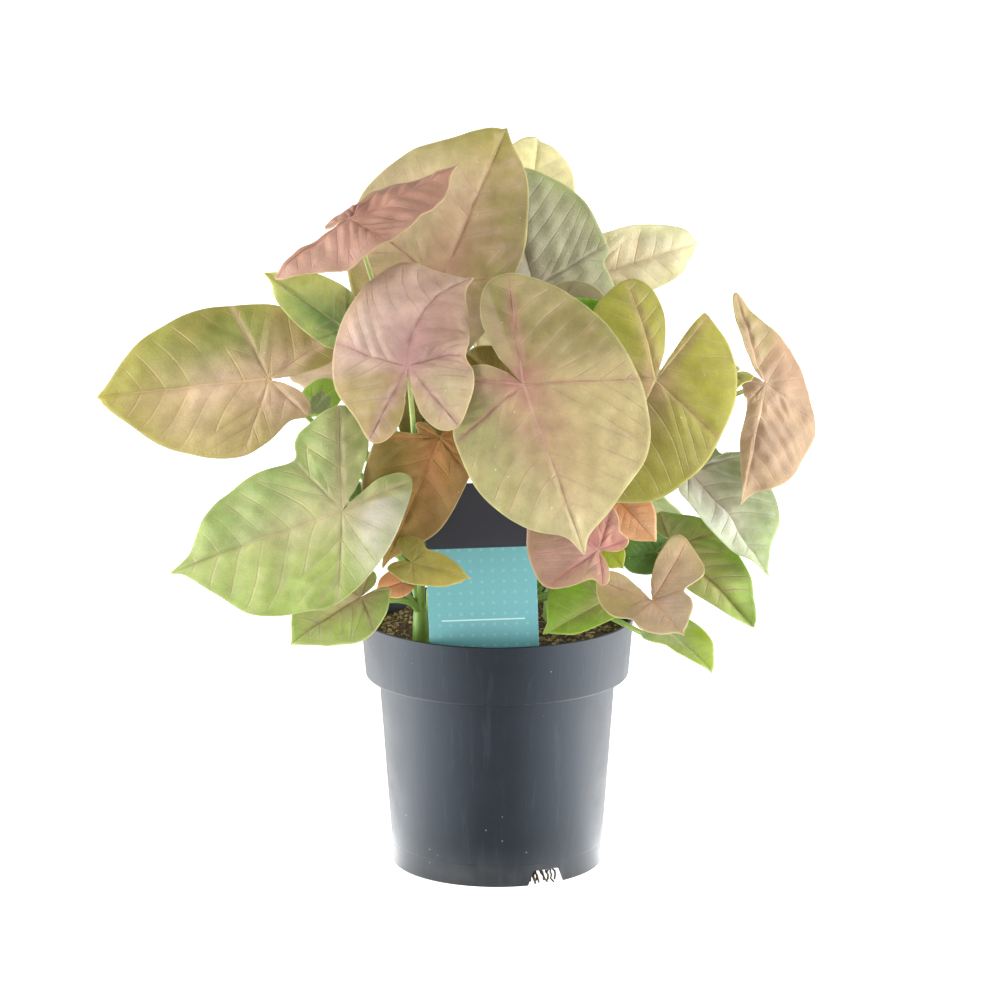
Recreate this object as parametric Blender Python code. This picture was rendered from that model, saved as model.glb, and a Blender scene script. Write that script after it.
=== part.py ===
"""Potted syngonium (arrowhead plant) in a dark grey nursery pot, with a card plant tag.

Metres, +Z up. The origin is under the middle of the plant's spread, on the surface that the
pot stands on, and the front of the plant, the side with the tag, faces -Y. Sizes are
written in millimetres, from the pot's axis, and multiplied by MM where they meet Blender.
"""
import math
from collections import namedtuple

import bmesh
import bpy
from mathutils import Matrix, Vector, noise

MM = 0.001

# The pot's axis, from the middle of the spread: the plant leans to its left and to its back.
POT_X = 18.7
POT_Y = -2.5

# The nursery pot: a 12 cm injection-moulded pot with a deep stacking collar.
POT_HEIGHT = 111.0
RIM_R = 60.0
COLLAR_LOW_R = 57.8
COLLAR_LOW_Z = 84.5
BODY_TOP_R = 52.0
FOOT_R = 46.4
WALL = 1.3
FLOOR_Z = 6.0
FOOT_LINE_Z = 10.0
FOOT_LINE_STEP = 0.5
EDGE = 0.4
COLLAR_EDGE = 0.8
POT_SIDES = 40
NOTCH_ANGLES = (28.0, 148.0, 268.0)
NOTCH_WIDTH = 21.0
NOTCH_TOP_SHARE = 0.6
NOTCH_HEIGHT = 6.6
NOTCH_CENTRE_R = FOOT_R + 4.5
DRAIN_HOLE_R = 4.0
DRAIN_RING_R = 24.0
DRAIN_HOLES = 4
CUT_SPARE = 4.0

# The potting mix fills the pot to a little under its rim.
CLEARANCE = 0.35
SOIL_SIDE_GAP = 0.65
SOIL_EDGE_Z = 103.5
SOIL_CROWN_RISE = 3.0
SOIL_LUMP = 1.6
SOIL_RINGS = 5
SOIL_SIDES = 40

# The tag: a plain card pushed into the mix just behind the front of the rim.
TAG_WIDTH = 47.0
TAG_THICK = 0.8
TAG_TOP_Z = 181.0
TAG_FOOT_Z = 88.0
TAG_TAPER = 12.0
TAG_Y = -49.5
TAG_LEAN = 2.0
TAG_X = -1.6
TAG_STEM_WIDTH = 22.0
TAG_SLOT_SPARE = 2.2

# Five young plants share the pot. Each is a short stem that carries its petioles.
CROWNS = {
    "a": (-33.0, -29.0),
    "b": (14.0, -18.0),
    "c": (24.0, 8.0),
    "d": (0.0, 20.0),
    "e": (-28.0, 12.0),
}
STEM_R = 3.6
STEM_FOOT_Z = 60.0
STEM_TOP_Z = 122.0
STEM_SIDES = 12

# A petiole starts inside its stem, rises, and arches over to meet its blade from below.
PETIOLE_SIDES = 5
PETIOLE_STEPS = 8
PETIOLE_BASE_R = 2.1
PETIOLE_END_R = 0.9
PETIOLE_ROOT = 8.0
PETIOLE_RISE = 0.45
PETIOLE_ARCH = 0.3
PETIOLE_ARCH_MAX = 26.0

# A blade's mesh: rings from the joint out to the margin, and the margin's points a side.
BLADE_THICK = 0.7
BLADE_RINGS = (0.36, 0.72, 1.0)
LARGE_BLADE = 45.0
LARGE_MARGIN_POINTS = 9
SMALL_MARGIN_POINTS = 7
MARGIN_WAVES = 5

# A side of the blade as (share of its half width, share of the midrib) from the tip down,
# and a basal lobe as shares of its length, along it and outwards from its middle line.
SIDE_SHAPE = ((0, 1.0), (0.12, 0.92), (0.42, 0.81), (0.75, 0.64), (0.95, 0.42), (1.0, 0.18))
SHOULDER_BULGE = 0.1
LOBE_SHAPE = ((0.80, 0.38), (1.00, 0.08), (0.90, -0.13), (0.60, -0.20), (0.26, -0.13))

# How near straight back each of those points may lie, in degrees, so that the lobes part at
# the sinus. A lobe that points nearly straight back may cross that line, and is left as it is.
SINUS_ANGLES = (16, 13, 10, 8, 6)
NEARLY_STRAIGHT_BACK = 172

# One leaf. crown is the stem that carries it. joint is where the petiole meets the blade and
# tip is the blade's point, in mm. faces is the way its upper side looks. half is the width of
# its left and right side, seen from above with the tip away, as shares of the midrib. left
# and right are the basal lobes: length as a share of the midrib, direction in degrees round
# from the tip and, where it isn't 1, width as a share of the usual. The bends are in degrees:
# droop curls the tip back, hang the lobes back, fold lifts the two sides, curl rolls the
# margins up, twist turns the tip clockwise and sweep swings it to the right. wave is in mm.
Leaf = namedtuple(
    "Leaf",
    "name crown joint tip faces half left right droop hang fold curl twist sweep wave",
    defaults=((0.50, 0.50), (0.50, 150), (0.50, 150), 20, 20, 10, -15, 0, 0, 1.0),
)

LEAVES = (
    Leaf("front_centre", "b", (11, -85, 230.5), (36, -106, 164), (0.0, -0.95, 0.3),
         (0.64, 0.48), (0.68, 173, 1.1), (0.38, 120), 15, 10, 0, -15),
    Leaf("front_pink", "a", (-37, -88, 239), (-10, -52, 270), (0, -0.75, 0.65),
         (0.56, 0.42), (0.62, 155, 0.9), (0.58, 148, 1.05), 25, 30, 0, -20, 0, 65),
    Leaf("left_long", "a", (-97, -40, 224), (-173, -35, 215), (-0.1, -0.9, 0.4),
         (0.42, 0.44), (0.30, 135), (0.44, 155, 1.2), 10, 10, 5, -10),
    Leaf("left_low", "a", (-65, -78, 175), (-137, -78, 148), (-0.1, -0.85, 0.5),
         (0.50, 0.38), (0.42, 190, 0.8), (0.62, 110), 10, 10, 5, -10),
    Leaf("left_rim", "a", (-58, -62, 134), (-88, -80, 117), (-0.1, -0.8, 0.6),
         (0.45, 0.45), (0.35, 165), (0.40, 150)),
    Leaf("left_sinus", "a", (-64, -54, 176), (-68, -56, 190), (0, -1, 0.2)),
    Leaf("orange_hanging", "a", (-24, -61, 203), (-48, -66, 148), (0.1, -0.95, 0.2),
         (0.30, 0.42), (0.30, 150), (0.20, 98, 0.8)),
    Leaf("olive_tip", "a", (-36, -78, 153), (-11, -84, 147), (0.1, -0.8, 0.5),
         (0.28, 0.35), (0.5, 130), (0.4, 150)),
    Leaf("soil_salmon", "a", (-41, -44, 136), (-52, -50, 133), (0, -0.8, 0.5)),
    Leaf("left_shade", "e", (-55, -38, 152), (-68, -46, 144), (-0.2, -0.9, 0.3)),
    Leaf("left_curl", "e", (-65, -48, 248), (-98, -56, 273), (-0.2, -0.9, 0.3),
         (0.26, 0.34), (0.25, 150), (0.28, 150)),
    Leaf("pink_upper", "a", (-62, -50, 295), (-16, -42, 314), (0.1, -0.45, 0.9),
         (0.34, 0.48), (0.26, 150), (0.80, 171, 0.7), 15, 5, (-20, 5)),
    Leaf("middle_shade", "d", (-24, -36, 219), (-38, -44, 192), (0.0, -0.95, 0.3),
         (0.45, 0.45)),
    Leaf("sprig_bright", "e", (-79, -8, 208), (-66, -4, 215), (0.0, -0.9, 0.4)),
    Leaf("sprig_grey", "e", (-75, -24, 212), (-80, -28, 206), (0.0, -0.9, 0.4)),
    Leaf("top_large", "d", (-24, -24, 263), (5, -2, 328), (-0.1, -0.95, 0.2),
         (0.61, 0.38), (0.58, 148), (0.45, 150), 10),
    Leaf("top_grey", "d", (16, -3, 257), (0, 12, 312), (0.3, -0.9, 0.2),
         (0.40, 0.62), (0.45, 150), (0.64, 112), 10, 30),
    Leaf("brown_curl", "d", (28, -22, 252), (51, -26, 251), (0.0, -0.9, 0.4)),
    Leaf("pale_top", "d", (12, 34, 277), (18, 54, 315), (0.1, -0.95, 0.2),
         (0.50, 0.44), (0.45, 150), (0.45, 150), 70),
    Leaf("centre_shade", "d", (3, -30, 219), (-15, -20, 233), (0.0, -0.95, 0.3)),
    Leaf("shiny_small", "c", (26, -42, 233), (50, -35, 256), (0.3, -0.8, 0.4),
         (0.62, 0.55)),
    Leaf("pale_right", "c", (45, 20, 259), (89, 45, 268), (0.2, -0.9, 0.3),
         (0.30, 0.26), (0.30, 150), (0.30, 150), 70),
    Leaf("right_olive", "c", (67, -62, 228), (40, -80, 175), (0.1, -0.95, 0.2),
         (0.56, 0.45), (0.63, 171.5, 1.3), (0.74, 146)),
    Leaf("right_arch", "c", (101, -40, 226), (81, -60, 207), (0.0, -0.35, 0.95),
         (0.25, 0.30), (0.25, 150), (0.25, 150), 80),
    Leaf("right_drop", "c", (115, -30, 220), (105, -45, 170), (0.3, -0.9, 0.1),
         (0.60, 0.12), (0.76, 214, 0.4), (0.20, 97), 10, 10, -10, -15),
    Leaf("right_pale", "c", (83, -25, 181), (117, -35, 136), (0.3, -0.6, 0.7),
         (0.54, 0.22), (0.36, 108), (0.20, 110)),
    Leaf("right_green", "c", (76, -24, 147), (112, -40, 114), (0.3, -0.85, 0.4),
         (0.38, 0.20), (0.36, 155), (0.40, 150)),
    Leaf("dark_right", "b", (68, -44, 149), (50, -47, 147), (0.0, -0.9, 0.4)),
    Leaf("right_small", "c", (66, -64, 133), (79, -80, 122), (0.1, -0.8, 0.6),
         (0.60, 0.60), (1.45, 122), (1.10, 148), 10, -35),
    Leaf("right_rim", "b", (73, -56, 117), (92, -76, 104), (0.2, -0.8, 0.6),
         (0.40, 0.18), (0.40, 150), (0.40, 150)),
    Leaf("pink_low", "b", (43, -72, 157), (14, -62, 177), (0.0, -0.8, 0.5),
         (0.72, 0.50), (0.42, 138), (0.38, 125)),
    Leaf("orange_point", "b", (50, -50, 175), (68, -60, 157), (0.1, -0.9, 0.3),
         (0.40, 0.40)),
    Leaf("lime_shade", "b", (46, -54, 154), (54, -57, 145), (0.0, -0.9, 0.4)),
    Leaf("green_rim", "b", (46, -41, 127), (20, -52, 115), (0.0, -0.9, 0.4),
         (0.28, 0.60), (0.30, 150), (0.30, 150)),
    Leaf("back_high", "d", (-20, 52, 240), (-8, 102, 208), (0.2, 0.7, 0.7)),
    Leaf("back_middle", "d", (22, 60, 190), (26, 112, 150), (0.0, 0.7, 0.7)),
    Leaf("back_low", "d", (5, 60, 142), (10, 98, 122), (0.1, 0.6, 0.8)),
    Leaf("back_left", "e", (-52, 36, 224), (-80, 82, 188), (-0.3, 0.7, 0.65)),
    Leaf("back_low_left", "e", (-52, 42, 160), (-86, 74, 126), (-0.5, 0.5, 0.7)),
    Leaf("back_right", "c", (52, 44, 208), (84, 86, 174), (0.3, 0.7, 0.65)),
    Leaf("back_low_right", "c", (50, 44, 158), (82, 78, 124), (0.5, 0.5, 0.7)),
)

# Colours, as the surfaces look under neutral light.
POT_GREY = (0.038, 0.044, 0.052)
SOIL_BROWN = (0.045, 0.026, 0.014)
STEM_GREEN = (0.16, 0.26, 0.06)
TAG_TEAL = (0.16, 0.42, 0.43)
BLADE_COLOURS = {
    "olive": (0.19, 0.156, 0.045),
    "rose": (0.55, 0.26, 0.19),
    "orange": (0.58, 0.21, 0.06),
    "pale": (0.68, 0.61, 0.30),
    "green": (0.13, 0.24, 0.045),
}

# The colour that most of a blade shows. The blades that aren't named here are green.
BLADES_OF_COLOUR = {
    "olive": ("front_centre", "left_long", "top_large", "right_olive", "olive_tip",
              "centre_shade", "left_shade", "middle_shade", "brown_curl"),
    "rose": ("front_pink", "pink_upper", "pink_low", "soil_salmon", "right_small"),
    "orange": ("orange_hanging", "orange_point", "right_drop"),
    "pale": ("pale_top", "pale_right", "right_pale", "lime_shade", "sprig_grey"),
}


def material(name, colour, roughness, metallic=0.0):
    made = bpy.data.materials.new(name)
    made.use_nodes = True
    shader = made.node_tree.nodes["Principled BSDF"]
    shader.inputs["Base Color"].default_value = (*colour, 1.0)
    shader.inputs["Roughness"].default_value = roughness
    shader.inputs["Metallic"].default_value = metallic
    return made


def add_object(name, mesh, surface=None):
    made = bpy.data.objects.new(name, mesh)
    made.location = (POT_X * MM, POT_Y * MM, 0.0)
    bpy.context.scene.collection.objects.link(made)
    if surface is not None:
        mesh.materials.append(surface)
    return made


def mesh_of(bm, name, smooth_under=None):
    """The bmesh as a mesh, with faces that meet under smooth_under degrees shaded smooth."""
    mesh = bpy.data.meshes.new(name)
    bm.to_mesh(mesh)
    bm.free()
    if smooth_under is not None:
        mesh.shade_smooth()
        mesh.set_sharp_from_angle(angle=math.radians(smooth_under))
    return mesh


def turned(profile, sides):
    """A bmesh of a closed (radius, height) profile in mm, turned round Z."""
    bm = bmesh.new()
    ring = [bm.verts.new((r * MM, 0.0, z * MM)) for r, z in profile]
    edges = [bm.edges.new((a, b)) for a, b in zip(ring, ring[1:] + ring[:1])]
    bmesh.ops.spin(
        bm, geom=ring + edges, cent=(0, 0, 0), axis=(0, 0, 1),
        angle=math.tau, steps=sides, use_merge=True,
    )
    bmesh.ops.remove_doubles(bm, verts=bm.verts, dist=1e-6)
    flat = [edge for edge in bm.edges if not edge.link_faces]
    bmesh.ops.delete(bm, geom=flat, context="EDGES")
    bmesh.ops.recalc_face_normals(bm, faces=bm.faces)
    return bm


def cutter(name, bm, places):
    """A hidden solid that Boolean modifiers cut with, copied to each matrix in places."""
    mesh = mesh_of(bm, name)
    whole = bmesh.new()
    for place in places:
        copy = bmesh.new()
        copy.from_mesh(mesh)
        copy.transform(place)
        placed = mesh_of(copy, name)
        whole.from_mesh(placed)
        bpy.data.meshes.remove(placed)
    bpy.data.meshes.remove(mesh)
    tool = add_object(name, mesh_of(whole, name))
    tool.hide_render = True
    tool.display_type = "WIRE"
    return tool


def cut(target, tool):
    modifier = target.modifiers.new(tool.name, "BOOLEAN")
    modifier.operation = "DIFFERENCE"
    modifier.object = tool


def rod(radius, low, high, sides):
    """A bmesh of an upright rod in mm."""
    bm = bmesh.new()
    bmesh.ops.create_cone(
        bm, cap_ends=True, segments=sides, radius1=radius * MM, radius2=radius * MM,
        depth=(high - low) * MM,
        matrix=Matrix.Translation((0, 0, (low + high) / 2 * MM)),
    )
    return bm


def make_pot():
    inner = [
        (0.0, FLOOR_Z + WALL),
        (FOOT_R - WALL + EDGE, FLOOR_Z + WALL),
        (BODY_TOP_R - WALL, COLLAR_LOW_Z + WALL),
        (COLLAR_LOW_R - WALL, COLLAR_LOW_Z + WALL),
        (RIM_R - WALL, POT_HEIGHT - EDGE),
        (RIM_R - WALL + EDGE, POT_HEIGHT),
    ]
    outer = [
        (RIM_R - EDGE, POT_HEIGHT),
        (RIM_R, POT_HEIGHT - EDGE),
        (COLLAR_LOW_R, COLLAR_LOW_Z + COLLAR_EDGE),
        (COLLAR_LOW_R - COLLAR_EDGE, COLLAR_LOW_Z),
        (BODY_TOP_R, COLLAR_LOW_Z),
        (FOOT_R + FOOT_LINE_STEP, FOOT_LINE_Z),
        (FOOT_R, FOOT_LINE_Z - FOOT_LINE_STEP),
        (FOOT_R, 0.0),
        (FOOT_R - WALL, 0.0),
        (FOOT_R - WALL, FLOOR_Z),
        (0.0, FLOOR_Z),
    ]
    pot = add_object(
        "pot", mesh_of(turned(inner + outer, POT_SIDES), "pot", 30),
        material("nursery_pot_plastic", POT_GREY, 0.42),
    )
    notch = bmesh.new()
    bmesh.ops.create_cone(
        notch, cap_ends=True, segments=4, radius1=NOTCH_WIDTH / math.sqrt(2) * MM,
        radius2=NOTCH_WIDTH * NOTCH_TOP_SHARE / math.sqrt(2) * MM,
        depth=(NOTCH_HEIGHT + CUT_SPARE) * MM,
        matrix=Matrix.Translation((0, 0, (NOTCH_HEIGHT - CUT_SPARE) / 2 * MM))
        @ Matrix.Rotation(math.radians(45), 4, "Z"),
    )
    places = [
        Matrix.Rotation(math.radians(angle - 90), 4, "Z")
        @ Matrix.Translation((NOTCH_CENTRE_R * MM, 0, 0))
        for angle in NOTCH_ANGLES
    ]
    cut(pot, cutter("notch_cutter", notch, places))
    step = math.tau / DRAIN_HOLES
    places = [
        Matrix.Rotation(step * i, 4, "Z") @ Matrix.Translation((DRAIN_RING_R * MM, 0, 0))
        for i in range(DRAIN_HOLES)
    ]
    hole = rod(DRAIN_HOLE_R, FLOOR_Z - CUT_SPARE, FLOOR_Z + CUT_SPARE, 10)
    cut(pot, cutter("drain_cutter", hole, places))
    return pot


def soil_height(x, y):
    """Height in mm of the lumpy top of the mix."""
    out = math.hypot(x, y) / RIM_R
    lumps = noise.noise(Vector((x / 9.0, y / 9.0, 0.7)))
    return SOIL_EDGE_Z + SOIL_CROWN_RISE * (1 - out * out) + SOIL_LUMP * lumps * (1 - out)


def make_soil():
    floor_z = FLOOR_Z + WALL + CLEARANCE
    collar_r = COLLAR_LOW_R - WALL - SOIL_SIDE_GAP
    collar_slope = (RIM_R - COLLAR_LOW_R) / (POT_HEIGHT - COLLAR_LOW_Z)
    edge_r = collar_r + (SOIL_EDGE_Z - COLLAR_LOW_Z) * collar_slope
    profile = [
        (0.0, floor_z),
        (FOOT_R - WALL - CLEARANCE, floor_z),
        (BODY_TOP_R - WALL - SOIL_SIDE_GAP, COLLAR_LOW_Z + WALL + CLEARANCE),
        (collar_r, COLLAR_LOW_Z + WALL + CLEARANCE),
    ]
    profile += [
        (edge_r * (1 - k / SOIL_RINGS), SOIL_EDGE_Z) for k in range(SOIL_RINGS + 1)
    ]
    bm = turned(profile, SOIL_SIDES)
    for vert in bm.verts:
        if vert.co.z > (SOIL_EDGE_Z - 0.01) * MM:
            vert.co.z = soil_height(vert.co.x / MM, vert.co.y / MM) * MM
    bmesh.ops.triangulate(bm, faces=bm.faces)
    soil = add_object(
        "potting_mix", mesh_of(bm, "potting_mix", 60),
        material("peat_potting_mix", SOIL_BROWN, 0.95),
    )
    places = [Matrix.Translation((x * MM, y * MM, 0)) for x, y in CROWNS.values()]
    hole_top = POT_HEIGHT + CUT_SPARE
    hole = rod(STEM_R + CLEARANCE, STEM_FOOT_Z - CLEARANCE, hole_top, STEM_SIDES)
    cut(soil, cutter("stem_hole_cutter", hole, places))
    slot = bmesh.new()
    slot_foot = TAG_FOOT_Z - CLEARANCE
    bmesh.ops.create_cube(
        slot, size=MM,
        matrix=Matrix.Translation((0, 0, (slot_foot + hole_top) / 2 * MM))
        @ Matrix.Diagonal((
            TAG_WIDTH + TAG_SLOT_SPARE, TAG_THICK + 2 * CLEARANCE, hole_top - slot_foot, 1,
        )),
    )
    cut(soil, cutter("tag_slot_cutter", slot, [tag_matrix()]))
    return soil


def tag_matrix():
    """Leans the upright card a little to the left, about its foot."""
    place = Matrix.Translation((TAG_X * MM, TAG_Y * MM, 0))
    return place @ Matrix.Rotation(math.radians(-TAG_LEAN), 4, "Y")


def make_tag():
    half, stem = TAG_WIDTH / 2, TAG_STEM_WIDTH / 2
    shoulder_z = TAG_FOOT_Z + TAG_TAPER
    outline = [
        (-half, TAG_TOP_Z), (-half, shoulder_z), (-stem, TAG_FOOT_Z), (stem, TAG_FOOT_Z),
        (half, shoulder_z), (half, TAG_TOP_Z),
    ]
    bm = bmesh.new()
    front = [bm.verts.new((x * MM, -TAG_THICK / 2 * MM, z * MM)) for x, z in outline]
    face = bm.faces.new(front)
    grown = bmesh.ops.extrude_face_region(bm, geom=[face])
    back = [part for part in grown["geom"] if isinstance(part, bmesh.types.BMVert)]
    bmesh.ops.translate(bm, verts=back, vec=(0, TAG_THICK * MM, 0))
    bmesh.ops.recalc_face_normals(bm, faces=bm.faces)
    bm.transform(tag_matrix())
    return add_object(
        "plant_tag", mesh_of(bm, "plant_tag"), material("printed_card", TAG_TEAL, 0.5))


def pair(value):
    """A bend given once for both sides, or as (left, right)."""
    return value if isinstance(value, tuple) else (value, value)


def lobe_points(length, direction, width=1.0):
    """Outer side, end and inner side of a basal lobe, for the side where across is positive."""
    angle = math.radians(direction)
    axis = Vector((math.sin(angle), math.cos(angle)))
    outward = Vector((-math.cos(angle), math.sin(angle)))
    return [length * (along * axis + width * out * outward) for along, out in LOBE_SHAPE]


def clear_of_sinus(point, least):
    """Turns a point about the joint until it is least degrees off straight back."""
    least = math.radians(least)
    if math.atan2(point.x, -point.y) >= least:
        return point
    return point.length * Vector((math.sin(least), -math.cos(least)))


def side_outline(half, lobe):
    """One side's margin from the tip round to the sinus, as shares of the midrib."""
    side = [Vector((half * x, s)) for x, s in SIDE_SHAPE]
    end = lobe_points(*lobe)
    if lobe[1] <= NEARLY_STRAIGHT_BACK:
        end = [clear_of_sinus(point, least) for point, least in zip(end, SINUS_ANGLES)]
    drop = end[0] - side[-1]
    shoulder = side[-1] + drop / 2 + SHOULDER_BULGE * Vector((-drop.y, drop.x))
    return side + [shoulder] + end


def spline(points, count):
    """count points spread evenly in parameter along a Catmull-Rom curve through points."""
    ends = [2 * points[0] - points[1], *points, 2 * points[-1] - points[-2]]
    made = []
    for i in range(count):
        t = i / (count - 1) * (len(points) - 1)
        k = min(int(t), len(points) - 2)
        t -= k
        a, b, c, d = ends[k:k + 4]
        made.append(0.5 * (
            2 * b + (c - a) * t + (2 * a - 5 * b + 4 * c - d) * t * t
            + (3 * b - a - 3 * c + d) * t * t * t
        ))
    return made


def blade_outline(leaf, per_side):
    """The whole margin, from the sinus up the right side to the tip and down the left."""
    half_left, half_right = leaf.half
    right = spline(side_outline(half_right, leaf.right), per_side)
    left = spline(side_outline(half_left, leaf.left), per_side)
    return right[::-1] + [Vector((-p.x, p.y)) for p in left[1:]]


class BladeShape:
    """Carries a point of the flat leaf, in shares of the midrib, to its place in mm."""

    STEPS = 24

    def __init__(self, leaf):
        self.leaf = leaf
        chord = self.spine_point(1.0)
        joint, tip = Vector(leaf.joint), Vector(leaf.tip)
        self.length = (tip - joint).length / chord.length
        self.origin = joint
        bent = basis(chord, Vector((0, 0, 1)))
        self.frame = basis(tip - joint, Vector(leaf.faces)) @ bent.transposed()

    def turn_at(self, s):
        """How the blade has turned at s along the midrib from the way it leaves the joint."""
        if s < 0:
            return Matrix.Rotation(math.radians(-self.leaf.hang) * 2 * s, 3, "X")
        droop = math.radians(self.leaf.droop) * s * (0.4 + 0.6 * s)
        sweep = math.radians(self.leaf.sweep) * s
        return Matrix.Rotation(-sweep, 3, "Z") @ Matrix.Rotation(-droop, 3, "X")

    def spine_point(self, s):
        point, step = Vector((0, 0, 0)), s / self.STEPS
        for i in range(self.STEPS):
            point += self.turn_at((i + 0.5) * step) @ Vector((0, step, 0))
        return point

    def __call__(self, flat, right=True, lift=0.0):
        """flat is (across, along) on the right or the left side, and lift is in mm."""
        leaf, along = self.leaf, flat.y
        side, sign = (1, 1) if right else (0, -1)
        a = sign * flat.x
        curl = math.radians(pair(leaf.curl)[side]) / leaf.half[side]
        bend = math.radians(pair(leaf.fold)[side]) + 0.5 * curl * abs(a)
        out = Vector((sign * a * math.cos(bend), 0, a * math.sin(bend)))
        out.z += lift / self.length
        out.rotate(Matrix.Rotation(math.radians(leaf.twist) * max(along, 0.0), 3, "Y"))
        local = self.spine_point(along) + self.turn_at(along) @ out
        return self.origin + self.frame @ (local * self.length)

    def normal(self):
        """The way the upper side looks at the joint."""
        return (self.frame @ Vector((0, 0, 1))).normalized()


def basis(along, faces):
    """The turn that takes Y to along and Z as near to faces as it goes."""
    along = along.normalized()
    up = (faces - faces.dot(along) * along).normalized()
    return Matrix((along.cross(up), along, up)).transposed()


def margin_wave(leaf, way):
    """How far up a wave the margin is, from -1 to 1, at a share of the way round it."""
    start = sum(map(abs, leaf.joint)) % math.tau
    fade = math.sin(way * math.pi)
    return fade * math.sin(start + way * MARGIN_WAVES * math.tau)


def make_blade(leaf, surface):
    shape = BladeShape(leaf)
    wave = leaf.wave * min(shape.length / LARGE_BLADE, 1.0)
    large = shape.length > LARGE_BLADE
    per_side = LARGE_MARGIN_POINTS if large else SMALL_MARGIN_POINTS
    outline = blade_outline(leaf, per_side)
    last = len(outline) - 1
    bm = bmesh.new()
    middle = bm.verts.new(shape(Vector((0, 0))) * MM)
    inner = None
    for rim in BLADE_RINGS:
        lifts = [wave * rim * rim * margin_wave(leaf, i / last) for i in range(last + 1)]
        ring = [
            bm.verts.new(shape(point * rim, i < per_side, lifts[i]) * MM)
            for i, point in enumerate(outline)
        ]
        for i in range(last):
            if inner is None:
                bm.faces.new((middle, ring[i], ring[i + 1]))
            else:
                bm.faces.new((inner[i], ring[i], ring[i + 1], inner[i + 1]))
        inner = ring
    bmesh.ops.triangulate(bm, faces=bm.faces, quad_method="SHORT_EDGE")
    blade = add_object("leaf_" + leaf.name, mesh_of(bm, leaf.name), surface)
    wall = blade.modifiers.new("thickness", "SOLIDIFY")
    wall.thickness = BLADE_THICK * MM
    wall.offset = -1
    return blade


def petiole_path(leaf):
    """Points in mm from inside the stem to just under the blade, and the radius at each."""
    shape = BladeShape(leaf)
    below = BLADE_THICK + CLEARANCE + PETIOLE_END_R * 0.6
    end = shape.origin - shape.normal() * below
    start = Vector((*CROWNS[leaf.crown], STEM_TOP_Z - PETIOLE_ROOT))
    reach = (end - start).length
    risen = start + Vector((0, 0, reach * PETIOLE_RISE))
    arched = end - shape.normal() * min(reach * PETIOLE_ARCH, PETIOLE_ARCH_MAX)
    for i in range(PETIOLE_STEPS):
        t = i / (PETIOLE_STEPS - 1)
        u = 1 - t
        point = u ** 3 * start + 3 * u * u * t * risen + 3 * u * t * t * arched + t ** 3 * end
        yield point, PETIOLE_BASE_R + (PETIOLE_END_R - PETIOLE_BASE_R) * t ** 0.6


def make_petiole(leaf):
    """A tapered round petiole as a mesh object, to be joined with its stem."""
    bm = bmesh.new()
    path = list(petiole_path(leaf))
    rings = []
    for i, (point, radius) in enumerate(path):
        before, after = path[max(i - 1, 0)][0], path[min(i + 1, len(path) - 1)][0]
        facing = (after - before).to_track_quat("Z", "Y").to_matrix()
        ring = []
        for k in range(PETIOLE_SIDES):
            angle = math.tau * k / PETIOLE_SIDES
            spoke = facing @ Vector((math.cos(angle), math.sin(angle), 0)) * radius
            ring.append(bm.verts.new((point + spoke) * MM))
        rings.append(ring)
    for low, high in zip(rings, rings[1:]):
        for k in range(PETIOLE_SIDES):
            j = (k + 1) % PETIOLE_SIDES
            bm.faces.new((low[k], low[j], high[j], high[k]))
    bm.faces.new(rings[0][::-1])
    bm.faces.new(rings[-1])
    bmesh.ops.recalc_face_normals(bm, faces=bm.faces)
    return add_object("petiole_" + leaf.name, mesh_of(bm, leaf.name))


def make_stem(crown, leaves, surface):
    """One young plant's stem with its petioles, joined as one body."""
    x, y = CROWNS[crown]
    bm = rod(STEM_R, STEM_FOOT_Z, STEM_TOP_Z, STEM_SIDES)
    bm.transform(Matrix.Translation((x * MM, y * MM, 0)))
    stem = add_object("stem_" + crown, mesh_of(bm, "stem"), surface)
    group = bpy.data.collections.new("petioles_" + crown)
    bpy.context.scene.collection.children.link(group)
    petioles = [make_petiole(leaf) for leaf in leaves if leaf.crown == crown]
    for petiole in petioles:
        bpy.context.scene.collection.objects.unlink(petiole)
        group.objects.link(petiole)
    union = stem.modifiers.new("join", "BOOLEAN")
    union.operation = "UNION"
    union.operand_type = "COLLECTION"
    union.collection = group
    union.solver = "MANIFOLD"
    bpy.context.view_layer.update()
    graph = bpy.context.evaluated_depsgraph_get()
    joined = bpy.data.meshes.new_from_object(stem.evaluated_get(graph))
    stem.modifiers.clear()
    stem.data = joined
    for petiole in petioles:
        bpy.data.objects.remove(petiole)
    bpy.data.collections.remove(group)
    joined.shade_smooth()
    joined.set_sharp_from_angle(angle=math.radians(60))
    return stem


def blade_colour(leaf):
    for colour, names in BLADES_OF_COLOUR.items():
        if leaf.name in names:
            return colour
    return "green"


def main():
    for old in list(bpy.data.objects):
        bpy.data.objects.remove(old)
    make_pot()
    make_soil()
    make_tag()
    stem_surface = material("green_petiole", STEM_GREEN, 0.5)
    for crown in CROWNS:
        make_stem(crown, LEAVES, stem_surface)
    surfaces = {
        name: material(name + "_blade", colour, 0.45)
        for name, colour in BLADE_COLOURS.items()
    }
    for leaf in LEAVES:
        make_blade(leaf, surfaces[blade_colour(leaf)])


main()
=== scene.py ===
# %% [markdown]
# # A potted syngonium
#
# A young arrowhead plant grows in a dark grey nursery pot, with a printed tag at its front.
# The imported model gives the plain solids. Each is replaced here by a finer mesh of the same
# form. The model is loaded first, because its box is what every finer mesh has to stay in.
# All places below are measured from the pot's axis, which is read from the imported pot.

import math
import random
from collections import namedtuple

import bmesh
import bpy
import numpy as np
from mathutils import Matrix, Vector, noise


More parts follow.
